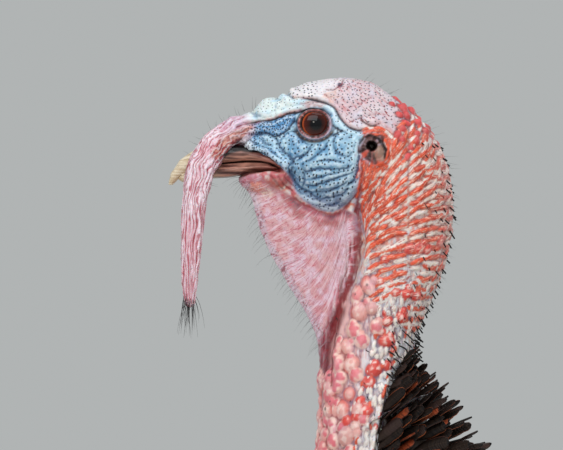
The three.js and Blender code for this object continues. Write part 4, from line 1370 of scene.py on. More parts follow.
def bare_skin():
    """The finished head, neck, snood and dewlap, with a colour and texture fields at each point."""
    form_mesh = bare_form()
    form = Form(form_mesh)
    lumps = all_lumps(form)
    rough = joined("bare_skin", [form.surface] + [lump.surface(3) for lump in lumps])
    mesh = remeshed(rough, SKIN_VOXEL)
    pairs = edges_of(mesh)
    set_points(mesh, smoothed(points(mesh), pairs, 2))
    outward = unit(smoothed(normals(mesh), pairs, 4))
    flat = browed(in_head(points(mesh)))
    nearest, on_lump, from_middle = lump_field(flat, lumps)
    # How much painted shade the creases lay on each point comes back as sunk.
    flat, sunk = creased(flat, outward)
    flat, masks = folded(flat, outward, 1 - on_lump)
    under_coat = coat_depth(flat) - LEAST_DEPTH + GIVE_WAY * step(8, 40, bare_edge(flat))
    flat = flat - outward * under_coat[:, None]
    flat = lidded(flat)
    flat, hole, rim, patch, pleats = eared(flat)
    set_points(mesh, from_head(flat))
    outward = normals(mesh)
    # How far each point lies below its near and its wider surroundings, which sets the painted shade in
    # hollows and the painted highlight on crests.
    hollow = np.zeros(len(flat))
    for times, share in ((3, 1.0), (14, 0.5)):
        pull = smoothed(flat, pairs, times, 0.6) - flat
        hollow += share * np.sum(pull * outward, axis=1)
    tint = skin_tint(flat, masks, lumps, (nearest, on_lump, from_middle), sunk, hollow)
    tint = ear_tint(tint, flat, (hole, rim, patch, pleats))
    tint = np.clip(lid_tint(tint, flat), 0.002, 1)
    colour_attribute(mesh, "tint", tint)
    away = off_eye(flat, 1.5, 4) * step(1.1, 1.4, rim)
    x, z = flat[:, 0], flat[:, 2]
    side = flat[:, [0, 2]]
    brow = step(3, -1, x) * step(2, 6, z)
    pores = masks["face"] + masks["crown"] * 0.36 + masks["dewlap"] * 0.3 + masks["snood"] * 0.3
    pores = np.clip(pores + brow * 0.45, 0, 1) + step(0, 2, inside(side, CROWN)) * 0.4 + brow * 0.15
    lore = step(-0.5, 1.0, inside(side, LORE)) + step(-18, -27, x) * masks["face"]
    lore = np.clip(lore, 0, 1) * step(-33, -27, x)
    attribute(mesh, "pores", np.clip(pores, 0, 1) * away * (1 - 0.8 * on_lump) * (1 - lore))
    attribute(mesh, "fine_pores", lore * away)
    attribute(mesh, "snood_lie", on_tube(masks["along"], masks["angle"], 6))
    attribute(mesh, "dewlap_fan", dewlap_fan(flat))
    attribute(mesh, "snood", masks["snood"])
    attribute(mesh, "snood_lines", masks["snood"] * (0.35 + 0.65 * step(18, 32, masks["along"])))
    attribute(mesh, "lump_lie", lump_lie(flat, lumps, nearest))
    hot = np.isin(np.array([lump.kind for lump in lumps])[nearest], (ORANGE, CREAM, RED))
    off_ear = step(1.1, 1.5, rim)
    attribute(mesh, "ridges", masks["neck"] * step(-104, -84, z) * (0.25 + 0.75 * hot) * off_ear)
    attribute(mesh, "crown", masks["crown"] * (1 - on_lump) * 0.85)
    attribute(mesh, "dewlap", masks["dewlap"] * (1 - masks["face"]))
    attribute(mesh, "fibres", masks["neck"] * step(-50, -70, z) * (1 - on_lump))
    return mesh, form_mesh


def skin_material():
    shade = Shader("bare_skin")
    place = shade.place()
    tint = shade.attribute("tint", "Color")
    # Pores: small navy pits, stretched a little sideways so that most of the nearby ones show.
    pores = shade.attribute("pores")
    x, y, z = shade.axes(place)
    flat_place = shade.vector(x, z + y * 0.55)
    dots = shade.spots(flat_place, 500.0, 0.75)
    size = shade.between(pores, 0.0, 1.0, 0.0, 0.2)
    pit = shade.between(size - dots, -0.03, 0.05) * shade.between(pores, 0.02, 0.12)
    fine_dots = shade.spots(flat_place, 860.0, 0.8)
    pit = shade.math("MAXIMUM", pit, shade.between(fine_dots, 0.36, 0.2) * shade.attribute("fine_pores"))
    colour = shade.mix(pit * 0.9, tint, srgb(20, 28, 52))
    # Long red wrinkles on the snood.
    snood = shade.attribute("snood")
    lie = shade.attribute("snood_lie", "Vector")
    _, right, up = shade.axes(lie)
    turn = shade.math("ARCTAN2", up, right)
    drift = shade.noise(shade.scaled(lie, (0.13, 0.3, 0.3)), 1.0, 2.0)
    long_lines = shade.math("SINE", turn * 19.0 + drift * 18.0)
    breaks = shade.noise(shade.scaled(lie, (0.3, 0.6, 0.6)), 1.0, 1.0)
    red = shade.between(long_lines, -0.3, -0.9) * shade.between(breaks, 0.3, 0.5)
    red = red * shade.attribute("snood_lines")
    colour = shade.mix(red * 0.75, colour, srgb(172, 50, 68))
    colour = shade.mix(shade.between(long_lines, 0.2, 0.8) * (snood * 0.5), colour, SNOOD_PALE)
    # Crossed wrinkles on the dewlap.
    dewlap = shade.attribute("dewlap")
    fan = shade.attribute("dewlap_fan", "Vector")
    first = shade.noise(shade.scaled(fan, (0.06, 0.62, 0.2)), 1.0, 2.0, 0.6)
    second = shade.noise(shade.scaled(fan, (0.5, 0.09, 0.2)), 1.0, 2.0, 0.6)
    lines = shade.math("MAXIMUM", shade.crossing(first, 0.03), shade.crossing(second, 0.022) * 0.6)
    colour = shade.mix(lines * (dewlap * 0.8), colour, srgb(186, 66, 88))
    colour = shade.mix(shade.between(first, 0.56, 0.68) * (dewlap * 0.5), colour, SNOOD_PALE)
    # Streaks along the ridges of the neck.
    ridges = shade.attribute("ridges")
    streak = shade.noise(shade.scaled(shade.attribute("lump_lie", "Vector"), (0.3, 1.5, 1.0)), 1.0, 2.0)
    colour = shade.mix(shade.between(streak, 0.55, 0.64) * (ridges * 0.6), colour, srgb(246, 208, 186))
    colour = shade.mix(shade.between(streak, 0.45, 0.36) * (ridges * 0.7), colour, srgb(164, 40, 34))
    # Short red dashes that slant down the rear of the crown.
    crown = shade.attribute("crown")
    slanted = shade.add("ShaderNodeVectorRotate", {"Vector": place, "Angle": math.radians(-48)},
                        rotation_type="Y_AXIS")
    dashes = shade.noise(shade.scaled(slanted, (330.0, 700.0, 1500.0)), 1.0, 1.0)
    colour = shade.mix(shade.between(dashes, 0.62, 0.7) * crown, colour, srgb(150, 44, 50))
    # Upright pale fibres low on the neck, with painted shade in the lines between them.
    fibres = shade.attribute("fibres")
    strands = shade.noise(shade.scaled(place, (640.0, 640.0, 120.0)), 1.0, 2.0)
    colour = shade.mix(shade.between(strands, 0.5, 0.62) * (fibres * 0.6), colour, srgb(232, 232, 236))
    colour = shade.mix(shade.between(strands, 0.46, 0.36) * (fibres * 0.55), colour, srgb(138, 128, 150))
    grain = shade.noise(place, 900.0, 4.0)
    colour = shade.mix(shade.between(grain, 0.35, 0.65, 0.0, 0.16), colour, srgb(250, 236, 232),
                       "SOFT_LIGHT")
    height = grain - pit * 1.2 + long_lines * (snood * 0.45) + first * (dewlap * 1.4)
    rough = shade.between(grain, 0.3, 0.7, 0.3, 0.46)
    return shade.finish(colour, rough, Normal=shade.bump(height, 0.0004, 0.7), Subsurface_Weight=0.08,
                        Subsurface_Scale=0.0015, Specular_IOR_Level=0.5)


# ---- eyes ----
PUPIL = 2.5
IRIS = 5.9


def eyeball(name, side):
    """An eyeball whose clear front bulges a little; the angle from the gaze is stored for its colours."""
    places, faces = ball((0, 0, 0), (1, 1, 1), 6)
    gaze = np.array([0.09, side, -0.05])
    gaze /= np.linalg.norm(gaze)
    off = np.arccos(np.clip(places @ gaze, -1, 1))
    bulge = 0.35 * step(math.asin(6.4 / EYE_RADIUS), math.asin(4.0 / EYE_RADIUS), off)
    places = places * (EYE_RADIUS + bulge)[:, None] + np.array([0, side * EYE_SIDE, 0])
    mesh = new_mesh(name, from_head(places), faces)
    attribute(mesh, "off_gaze", np.sin(off) * EYE_RADIUS)
    turn = np.arctan2(places[:, 2], places[:, 0])
    lie_of_iris = [np.cos(turn) * 9, np.sin(turn) * 9, np.sin(off) * EYE_RADIUS * 0.8]
    attribute(mesh, "iris_lie", np.stack(lie_of_iris, 1))
    return mesh


def eye_material():
    shade = Shader("eye")
    off = shade.attribute("off_gaze")
    streaks = shade.noise(shade.attribute("iris_lie", "Vector"), 1.2, 3.0)
    iris = shade.mix(shade.between(off, PUPIL, IRIS), srgb(44, 13, 10), srgb(92, 30, 17))
    iris = shade.mix(shade.between(streaks, 0.35, 0.7, 0.0, 0.5), iris, srgb(34, 10, 10))
    iris = shade.mix(shade.between(off, IRIS - 1.0, IRIS - 0.45, 0.0, 0.65), iris, srgb(190, 80, 30))
    colour = shade.mix(shade.between(off, PUPIL - 0.5, PUPIL + 0.6), srgb(6, 7, 12), iris)
    colour = shade.mix(shade.between(off, IRIS - 0.2, IRIS + 0.15), colour, srgb(16, 8, 8))
    return shade.finish(colour, 0.08, Coat_Weight=0.6, Coat_Roughness=0.02, Specular_IOR_Level=0.0)


# ---- bill ----
BILL_GROWTH = 0.6 * MM  # closes the cut between the two halves
MOUTH = [(-57, -21.2), (-50, -19.5), (-45, -18.3), (-35, -17.2), (-28, -16.8), (-20, -17.8), (-13.5, -21.4)]


def bill_piece(name, material):
    """A bill half as an even fine surface over its solid, with growth ridges along it."""
    mesh = remeshed(joined(name, [flesh_of(name, BILL_GROWTH)]), 0.42 * MM)
    pairs = edges_of(mesh)
    mesh_places = smoothed(points(mesh), pairs, 3)
    set_points(mesh, mesh_places)
    outward = normals(mesh)
    flat = in_head(mesh_places)
    ridges_along = noise(flat, (16, 5, 1.7), 61)
    root = step(-52, -40, flat[:, 0])
    layers = noise(flat, (3.2, 9, 9), 62)
    rise = ridges_along * (0.1 + 0.2 * root) + 0.05 * layers
    flat = flat + outward * rise[:, None]
    # The skin of the throat laps over the rear of the lower half, whose lower edge draws in under it.
    skin_edge = np.interp(flat[:, 0], (-36, -31, -27, -20), (-24.5, -21, -19.9, -20))
    tucked = step(-0.4, 0.8, skin_edge - flat[:, 2]) * step(-36, -31, flat[:, 0])
    flat[:, 1] *= 1 - 0.4 * tucked
    set_points(mesh, from_head(flat))
    # Painted shade along the mouth line, in the gap between the two halves.
    attribute(mesh, "mouth_shade", step(0.55, 0.15, along_line(flat[:, [0, 2]], curve_through(MOUTH, 4))[0]))
    # Painted shadow on the top of the upper half's root, under the snood's edge.
    border = np.interp(flat[:, 0], (-47, -43, -40, -37.7, -33, -27), (-19.5, -17, -15, -13.4, -12.4, -13))
    attribute(mesh, "nostril_shadow", step(-0.5, 0.5, flat[:, 2] - border) * step(-50, -44, flat[:, 0]))
    attribute(mesh, "gape", step(-30, -16, flat[:, 0]))
    attribute(mesh, "root", root)
    attribute(mesh, "ridge", ridges_along)
    new_piece(name + "_horn", mesh, material, [name])


def bill_material():
    shade = Shader("bill_horn")
    place = shade.place()
    root = shade.attribute("root")
    ridge = shade.attribute("ridge")
    streak = shade.noise(shade.scaled(place, (70.0, 300.0, 900.0)), 1.0, 3.0)
    horn = shade.mix(shade.between(streak, 0.35, 0.65), srgb(198, 174, 140), srgb(236, 222, 196))
    base = shade.mix(shade.between(streak, 0.3, 0.62), srgb(80, 42, 36), srgb(190, 136, 118))
    base = shade.mix(shade.attribute("gape") * 0.6, base, srgb(142, 66, 62))
    colour = shade.mix(root, horn, base)
    colour = shade.mix(shade.between(ridge, 0.1, -0.6) * root, colour, srgb(72, 38, 36))
    # Painted shadow under the snood's edge, over the nostril.
    colour = shade.mix(shade.attribute("nostril_shadow"), colour, NEAR_BLACK)
    # Painted shade in the gap between the halves, along the mouth line.
    colour = shade.mix(shade.attribute("mouth_shade"), colour, srgb(34, 14, 12))
    return shade.finish(colour, 0.32, Normal=shade.bump(streak, 0.0003, 0.6), Specular_IOR_Level=0.5)


# ---- plumage colours ----
BRONZE = srgb(122, 84, 46)
COPPER = srgb(138, 70, 40)
GREEN_BRONZE = srgb(92, 92, 48)
GOLD = srgb(150, 118, 60)
DARK_BROWN = srgb(44, 32, 26)
VELVET = srgb(12, 10, 11)
CHESTNUT = srgb(142, 80, 44)


# ---- the feathered body: its skin, and the way its feathers lie ----
BODY_VOXEL = 5.0 * MM
PLUMED_VOXEL = 3.5 * MM
COAT_DEPTH = 12.0  # from the skin to the feathers' outline, on the body
LEAST_DEPTH = 0.6
GIVE_WAY = 8.0  # how far the bare skin's end sinks under the body's
BODY_FLESH = ("neck_upper", "neck_lower", "neck_base", "trunk", "thigh_left", "thigh_right")
LEG_FLESH = ("shank_left", "shank_right", *(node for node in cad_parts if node.startswith("toe_")))
THIGH_LOW = EYE[2] - 0.672  # the height of the hocks
EYE_BACK = EYE[0] / MM  # the eye line's place along the bird, in millimetres
# The lower edge of the bare skin: x and the drop below the eye line.
BARE_EDGE = [(-12, 190), (10, 172), (26, 148), (28, 135), (30.5, 124), (33, 115), (36, 109), (39, 106),
             (43, 104)]
# Rows of [x from the eyes, middle height, half height] of the folded wing in the side view.
WING_LINE = [(-14, 500, 46), (50, 492, 84), (130, 486, 104), (220, 480, 106), (310, 472, 92),
             (390, 462, 70), (460, 450, 46), (530, 436, 27), (588, 424, 13)]
# The bird's middle line from the top of the neck to the tail: x and z from the eye line.
SPINE = [(28, -60), (22, -105), (27, -150), (50, -215), (90, -290), (150, -345), (250, -368), (370, -375),
         (500, -388), (620, -410)]


def bare_edge(flat):
    """How far below the edge of the bare skin each point lies, in millimetres."""
    at, drop = np.array(BARE_EDGE).T
    return -flat[:, 2] - np.interp(flat[:, 0], at, drop)


def coat_depth(flat):
    """The depth of the feathers over the skin at each point, in millimetres."""
    depth = np.clip(LEAST_DEPTH + 0.32 * bare_edge(flat), LEAST_DEPTH, COAT_DEPTH)
    height = (from_head(flat)[:, 2] - THIGH_LOW) / MM
    return np.minimum(depth, 2.5 + 9 * step(10, 130, height))


def body_form():
    """The smooth skin of the neck, trunk, tail's root and thighs, below the feathers."""
    parts = [flesh_of(node, JOIN_GROWTH) for node in BODY_FLESH]
    parts.append(ball(from_head([510, 0, -378]), np.array([52, 30, 18]) * MM))
    mesh = remeshed(joined("body_form", parts), BODY_VOXEL)
    pairs = edges_of(mesh)
    places = smoothed(points(mesh), pairs, 5)
    set_points(mesh, places)
    outward = unit(smoothed(normals(mesh), pairs, 3))
    depth = coat_depth(in_head(places)) + 0.6
    set_points(mesh, places - outward * (depth * MM)[:, None])
    plain_tint(mesh)
    return mesh


def down_tint(flat):
    """Dark downy skin between the feathers, brown with a bronze cast like them."""
    return blend(repeated(DARK_BROWN, len(flat)), BRONZE, 0.12 + 0.12 * noise(flat, 40.0, 74))


def plain_tint(mesh):
    flat = in_head(points(mesh))
    colour_attribute(mesh, "tint", down_tint(flat))


def plumed_form(nodes, inward, depth, thicken=0.0):
    """A smooth form of a wing or of a group of coverts, below its feathers by their depth.

    It moves inwards along one axis and is drawn in from its edges along the others; thicken moves its inner
    face further in, to join it to the trunk.
    """
    mesh = remeshed(joined("plumed_form", [flesh_of(node, JOIN_GROWTH) for node in nodes]), PLUMED_VOXEL)
    places = smoothed(points(mesh), edges_of(mesh), 5)
    set_points(mesh, places)
    inner = step(-0.2, 0.5, normals(mesh) @ np.array(inward))
    middle = (places.min(0) + places.max(0)) / 2
    drawn_in = 1 - 2 * depth * MM / (places.max(0) - places.min(0)) * (np.abs(inward) < 0.5)
    moved = (depth + thicken * inner)[:, None] * MM * np.array(inward)
    set_points(mesh, middle + (places - middle) * drawn_in + moved)
    plain_tint(mesh)
    return mesh


def legs_form():
    """The scaly shanks and toes."""
    parts = [flesh_of(node, 0.2 * MM) for node in LEG_FLESH]
    for side_name, side in SIDES:
        low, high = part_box("shank_" + side_name)
        hock = (low[0] + 0.031, side * 66 * MM, high[2] + 5 * MM)
        parts.append(ball(hock, [9.5 * MM] * 3))
        parts.append(ball((low[0] + 0.0078, side * 68 * MM, 10.5 * MM), [9.5 * MM] * 3))
    mesh = remeshed(joined("legs_form", parts), 1.0 * MM)
    pairs = edges_of(mesh)
    places = smoothed(points(mesh), pairs, 3)
    set_points(mesh, places)
    outward = unit(smoothed(normals(mesh), pairs, 2))
    flat = places / MM
    foot = np.array(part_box("shank_left")[0]) / MM
    height = flat[:, 2]
    on_toe = step(17, 9, height)
    # Broad plates down the front of the shank and along the tops of the toes, small round scales elsewhere.
    toe_way = np.hypot(flat[:, 0] - foot[0] - 7.6, np.abs(flat[:, 1]) - 68)
    along = np.where(height > 14, height, 14 - toe_way)
    plates = np.abs(((along / 4.2 + 0.16 * noise(flat, 9.0, 71)) % 1) * 2 - 1)
    groove = step(0.72, 1.0, plates)
    front = step(0.1, 0.5, -outward[:, 0]) * (1 - on_toe) + step(0.2, 0.6, outward[:, 2]) * on_toe
    near, second, _ = cells(flat, 2.6, 72)
    pebbles = step(0.22, 0.0, second - near)
    sink = 0.45 * (groove * front + pebbles * (1 - front)) * step(0.4, 1.6, height)
    sole = places[:, 2] < 0.4 * MM
    moved = places - outward * (sink * MM)[:, None]
    moved[sole, 2] = np.maximum(places[sole, 2], 0.0)
    set_points(mesh, np.maximum(moved, [-9, -9, 0.0]))
    tone = noise(flat, 14.0, 73)
    tint = repeated(srgb(186, 112, 104), len(flat))
    tint = blend(tint, srgb(150, 92, 88), step(-0.2, 0.6, tone))
    tint = blend(tint, srgb(112, 74, 70), step(60, 10, height) * 0.55)
    tint = blend(tint, srgb(92, 54, 52), np.clip(sink / 0.45, 0, 1) * 0.7)
    colour_attribute(mesh, "tint", tint)
    return mesh


def union(skin, others):
    """One closed skin from several that overlap, with their fields kept."""
    carriers = [new_object("union_carrier", mesh) for mesh in (skin, *others)]
    whole = carriers[0]
    for other in carriers[1:]:
        modifier = whole.modifiers.new("union", "BOOLEAN")
        modifier.object = other
        modifier.operation = "UNION"
        modifier.solver = "MANIFOLD"
    result = evaluated(whole)
    for carrier in carriers:
        bpy.data.objects.remove(carrier)
    result.name = "skin"
    # The feathered part has one colour, also along the lines where the forms meet.
    flat = in_head(points(result))
    feathered = (bare_edge(flat) > 12) & (flat[:, 2] > (THIGH_LOW - EYE[2]) / MM + 4)
    tint = read(result.attributes["tint"].data, "color", 4)
    tint[feathered, :3] = down_tint(flat[feathered])
    result.attributes["tint"].data.foreach_set("color", tint.ravel())
    return result


# ---- feathers ----
RINGS = 8  # across a small feather's length
VANE_THICK = 0.45
UV_PATCH = (0.0014, 0.0028)  # the half width and the length of each feather's patch on the UV map
HEADING_SPREAD = 6.0  # how many degrees neighbouring feathers' headings differ by


class Lie:
    """Where feathers grow and which way they lie on a smooth form."""

    def __init__(self, meshes):
        places, faces, start = [], [], 0
        for mesh in meshes:
            places.append(in_head(points(mesh)))
            faces.append(triangles_of(mesh) + start)
            start += len(places[-1])
        self.places = np.concatenate(places)
        self.faces = np.concatenate(faces)
        self.tree = BVHTree.FromPolygons(self.places.tolist(), self.faces.tolist())

    def nearest(self, spots):
        found = [self.tree.find_nearest(spot) for spot in spots.tolist()]
        return np.array([entry[0] for entry in found]), np.array([entry[1] for entry in found])

    def scattered(self, gap, keep, seed, tries=7):
        """Roots spread over the form where keep allows them, each at least its own gap from the others."""
        draws = np.random.default_rng(seed)
        corners = self.places[self.faces]
        cross = np.cross(corners[:, 1] - corners[:, 0], corners[:, 2] - corners[:, 0])
        area = np.linalg.norm(cross, axis=1) / 2
        middle = corners.mean(1)
        wanted = keep(middle) & (area > 0)
        weight = np.where(wanted, area / gap(middle) ** 2, 0)
        count = int(weight.sum() * tries)
        chosen = draws.choice(len(area), count, p=weight / weight.sum())
        u, v = draws.random(count), draws.random(count)
        flip = u + v > 1
        u, v = np.where(flip, 1 - u, u), np.where(flip, 1 - v, v)
        base = corners[chosen]
        spots = base[:, 0] + u[:, None] * (base[:, 1] - base[:, 0]) + v[:, None] * (base[:, 2] - base[:, 0])
        spots = spots[keep(spots)]
        gaps = gap(spots)
        size = float(gaps.max())
        boxes = {}
        accepted = []
        for index, (spot, near) in enumerate(zip(spots.tolist(), gaps.tolist())):
            key = (int(spot[0] // size), int(spot[1] // size), int(spot[2] // size))
            clear = True
            for shift in np.ndindex(3, 3, 3):
                cell = (key[0] + shift[0] - 1, key[1] + shift[1] - 1, key[2] + shift[2] - 1)
                for other in boxes.get(cell, ()):
                    if sum((spot[k] - other[k]) ** 2 for k in range(3)) < near * near:
                        clear = False
                        break
                if not clear:
                    break
            if clear:
                boxes.setdefault(key, []).append(spot)
                accepted.append(index)
        return spots[accepted]


def even_gap(gap):
    """The same gap everywhere, for scattered roots."""
    return lambda flat: np.full(len(flat), gap)


def spine_place(flat):
    """The share of the way down the bird's middle line, the line's heading there and the angle round it."""
    line = curve_through([(x, 0, z) for x, z in SPINE], 5)
    upright = flat * np.array([1, 0, 1])
    _, share = along_line(upright, line)
    spot = np.clip(share * (len(line) - 1), 0, len(line) - 1.001)
    low = spot.astype(int)
    heading = unit(line[low + 1] - line[low])
    centre = line[low] + (line[low + 1] - line[low]) * (spot - low)[:, None]
    out = flat - centre
    up = np.cross(np.array([0, 1.0, 0]), heading)
    return share, heading, np.arctan2(out[:, 1], np.sum(out * up, axis=1))


def vane_widths(t, root, tip):
    """Half widths of a feather along its length: a narrow root, a broad middle and a squared tip."""
    broad = (root + (1 - root) * step(0, 0.38, t)) * (1 - 0.08 * t)
    end = np.sqrt(np.clip(1 - np.clip((t - (1 - tip)) / tip, 0, 1) ** 2, 0, 1))
    return broad * (0.12 + 0.88 * end)


def shares(rings):
    """Where along a feather its rings are, closer together towards the tip."""
    return 1 - (1 - np.linspace(0, 1, rings)) ** 1.6


def followed(roots, facing, headings, lengths, lie, rise, lift, rings=RINGS):
    """Paths for feathers from their roots over a form, with the upward direction at each step.

    rise is the height over the form at the root and at the tip; lift stands the tips out by a share of the
    length.
    """
    count = len(roots)
    t = shares(rings)
    paths = np.zeros((rings, count, 3))
    ups = np.zeros((rings, count, 3))
    place, heading, up = roots.copy(), headings.copy(), facing.copy()
    low, high = (np.broadcast_to(np.asarray(value, float), (count,)) for value in rise)
    lifted = np.broadcast_to(np.asarray(lift, float), (count,)) * lengths
    for ring in range(rings):
        if ring:
            stride = lengths * (t[ring] - t[ring - 1])
            ahead = place + heading * stride[:, None]
            found, below = lie.nearest(ahead)
            # Past the end of the form a feather runs straight on.
            away = np.linalg.norm(found - ahead, axis=1)
            beyond = ((away > 0.45 * stride + 0.3) | (np.sum(below * up, axis=1) < 0.5))[:, None]
            place = np.where(beyond, ahead, found)
            up = unit(np.where(beyond, up, up + (below - up) * 0.7))
        heading = unit(along_surface(heading, up))
        height = low + (high - low) * t[ring] ** 0.8 + lifted * t[ring] ** 1.6
        paths[ring] = place + up * height[:, None]
        ups[ring] = up
    return paths, ups


def tubes(name, places, rim, shares_along, draws, roots):
    """A mesh of closed tubes from their places by ring, corner and tube.

    Stores each point's place across, its share along and its tube's chance, which the materials read, and
    gives each tube a small UV patch.
    """
    rings, corners, count, _ = places.shape
    faces = []
    for ring in range(rings - 1):
        for k in range(corners):
            a, b = ring * corners + k, ring * corners + (k + 1) % corners
            faces += [(a, b, b + corners), (a, b + corners, a + corners)]
    last = (rings - 1) * corners
    for k in range(1, corners - 1):
        faces += [(0, k + 1, k), (last, last + k, last + k + 1)]
    per = rings * corners
    every = (np.array(faces)[None] + (np.arange(count) * per)[:, None, None]).reshape(-1, 3)
    mesh = new_mesh(name, from_head(places.transpose(2, 0, 1, 3).reshape(-1, 3)), every)
    across = np.tile(np.tile(rim, rings), count)
    along = np.tile(np.repeat(shares_along, corners), count)
    attribute(mesh, "vane", np.stack([across, along, np.repeat(draws.random(count), per)], 1))
    tube_uvs(mesh, roots, per, across, along)
    return mesh


def vanes(name, paths, ups, widths, looks, camber=0.16, tip=0.2, root=0.3, across=2, roll=0.0):
    """Closed thin vanes along paths: a mesh with all that the feather materials read."""
    rings, count, _ = paths.shape
    draws = np.random.default_rng(count)
    t = shares(rings)
    ahead = unit(np.gradient(paths, axis=0))
    side = np.cross(ups, ahead)
    side = unit(side)
    over = np.cross(ahead, side)
    turn = np.broadcast_to(np.asarray(roll, float), (count,))[None, :, None]
    side, over = side * np.cos(turn) + over * np.sin(turn), over * np.cos(turn) - side * np.sin(turn)
    half = widths[None, :] / 2 * vane_widths(t, root, tip)[:, None]
    half = half * (1 + 0.05 * draws.standard_normal((rings, count)))
    # Round the vane: the top from its left edge over the shaft to its right edge, then back below.
    top = np.linspace(-1, 1, 2 * across + 1)
    rim = [(u, 0.0) for u in top] + [(0.5, -1.0), (-0.5, -1.0)]
    corners = len(rim)
    places = np.zeros((rings, corners, count, 3))
    for k, (u, below) in enumerate(rim):
        sag = -camber * u * u * half
        rib = 0.25 * (1 - abs(u)) ** 4
        places[:, k] = paths + side * (half * u)[..., None] + over * (sag + rib + below * VANE_THICK)[...,
                                                                                                      None]
    mesh = tubes(name, places, [u for u, _ in rim], t, draws, paths[0])
    per = rings * corners
    lengths = np.linalg.norm(np.diff(paths, axis=0), axis=2).sum(0)
    size = np.stack([widths / 2, lengths, np.zeros(count)], 1)
    attribute(mesh, "vane_size", np.repeat(size, per, axis=0))
    for key, colours in looks.items():
        colour_attribute(mesh, key, np.repeat(colours, per, axis=0))
    return mesh


def tube_uvs(mesh, roots, per, u_of, t_of):
    """A small patch for each tube at its root's place on an unwrap of the skin round the middle line."""
    share, _, angle = spine_place(roots)
    across = 0.5 + angle / (2 * math.pi) * 0.98
    low, high = share.min(), share.max()
    along = 0.01 + 0.98 * (share - low) / max(high - low, 1e-6)
    half_width, length = UV_PATCH
    uvs = np.repeat(np.stack([across, along], 1), per, axis=0)
    uvs = uvs + np.stack([u_of * half_width, (t_of - 0.5) * length], 1)
    corners = read(mesh.loops, "vertex_index", kind=np.int32)
    layer = mesh.uv_layers.new(name="OFBake")
    layer.data.foreach_set("uv", np.clip(uvs[corners], 0.0005, 0.9995).astype(np.float32).ravel())


def feather_tones(roots, seed):
    """Each feather's metal colour, which shifts slowly over the body and a little from one to the next."""
    draws = np.random.default_rng(seed)
    cloud = noise(roots, 90.0, 81)
    small = noise(roots, 28.0, 82)
    tone = repeated(BRONZE, len(roots))
    tone = blend(tone, COPPER, step(0.0, 0.6, cloud + 0.3 * small))
    tone = blend(tone, GREEN_BRONZE, step(0.05, 0.6, 0.3 * small - cloud))
    tone = blend(tone, GOLD, step(0.25, 0.8, small) * 0.6)
    return tone * draws.uniform(0.8, 1.15, (len(roots), 1))


def barb_fields(shade, slant, fine, coarse):
    """What the looks of a feather are made from: its places across and along, its chance, and its barbs."""
    u, t, chance = shade.axes(shade.attribute("vane", "Vector"))
    half_width, length, _ = shade.axes(shade.attribute("vane_size", "Vector"))
    out = abs(u)
    across = out * half_width
    along = t * length
    barb = along - across * slant
    hairy = shade.noise(shade.vector(barb * fine, across * coarse, chance * 37.0), 1.0, 2.0)
    return u, t, chance, out, across, along, barb, hairy


def feather_material(name, band=0.84, tip_start=2.0, metal=0.55, roughness=0.36, edge=2.0, gloss=0.4):
    """A body feather: brown root, a glossy metal middle, a black band and sometimes a paler tip or edges.

    The band, the tip and the edge start at these shares of the feather; past 1 there is none.
    """
    shade = Shader(name)
    _, t, _, out, _, _, _, hairy = barb_fields(shade, 0.42, 1.5, 0.12)
    share = t + (hairy - 0.5) * 0.1
    tone = shade.attribute("tone", "Color")
    lit = shade.mix(shade.between(hairy, 0.35, 0.65, 0.55, 1.0), srgb(58, 42, 30), tone)
    colour = shade.mix(shade.between(share, 0.2, 0.5), DARK_BROWN, lit)
    colour = shade.mix(shade.between(share, band, band + 0.035), colour, VELVET)
    middle = shade.between(share, 0.3, 0.55) * shade.between(share, band, band - 0.04)
    if tip_start < 1:
        tip_share = shade.between(share, tip_start, tip_start + 0.03)
        colour = shade.mix(tip_share, colour, shade.attribute("tip", "Color"))
    if edge < 1:
        rim = shade.between(out, edge, edge + 0.08) * shade.between(share, 0.2, 0.5)
        colour = shade.mix(rim, colour, shade.attribute("tip", "Color"))
    colour = shade.mix(shade.between(out, 0.07, 0.02) * 0.5, colour, srgb(60, 46, 36))
    colour = shade.mix(shade.between(hairy, 0.5, 0.3, 0.0, 0.45), colour, VELVET)
    rough = shade.between(middle, 0.0, 1.0, 0.6, roughness)
    return shade.finish(colour, rough, Normal=shade.bump(hairy, 0.0006, 0.8), Metallic=middle * metal,
                        Specular_IOR_Level=gloss)


def region_of(flat):
    """Each place's x from the eye line and its height over the floor, in millimetres."""
    return flat[:, 0], from_head(flat)[:, 2] / MM


def on_thigh(flat, top=330, inner=38):
    """Which roots are on a thigh: below a height and outside a distance from the bird's midline."""
    x, height = region_of(flat)
    return (height < top) & (np.abs(flat[:, 1]) > inner) & (x > 105) & (x < 255)


def lie_of(flat, facing, draws):
    """Each root's heading along the surface, down the body and the thighs, with a little disorder."""
    _, heading, _ = spine_place(flat)
    heading = np.where(on_thigh(flat)[:, None], [0.12, 0, -1.0], heading)
    heading = unit(along_surface(heading, facing))
    turn = np.radians(draws.normal(0, HEADING_SPREAD, len(flat)))[:, None]
    side = np.cross(facing, heading)
    return heading * np.cos(turn) + side * np.sin(turn)


def feather_gap(flat):
    """The distance between neighbouring feathers: small on the neck, large on the back and sides."""
    low = bare_edge(flat)
    gap = 3.3 + 2.6 * step(25, 70, low) + 7.9 * step(50, 190, low)
    return np.where(on_thigh(flat), 10.0, gap)


def drooping(roots, headings, lengths, droop, rings):
    """Straight paths that sink a little towards their tips, by a share of their length."""
    reach = lengths[:, None]
    t = shares(rings)[:, None, None]
    return roots + headings * reach * t - np.array([0, 0, droop]) * reach * t ** 2


def raised(spots, facing, lengths, draws):
    """Straight paths of the ruff's feathers, which stand up from the nape, and the way they face."""
    low = bare_edge(spots)
    rise = np.radians(47 - 30 * step(12, 66, low) + draws.normal(0, 3, len(spots)))
    aside = facing[:, 1] * 0.3 + draws.normal(0, 0.05, len(spots))
    headings = unit(np.stack([np.cos(rise), aside, np.sin(rise)], 1))
    over = unit(np.stack([-np.sin(rise), facing[:, 1] * 0.75, np.cos(rise)], 1))
    return drooping(spots, headings, lengths, 0.12, RINGS), np.repeat(over[None], RINGS, axis=0)


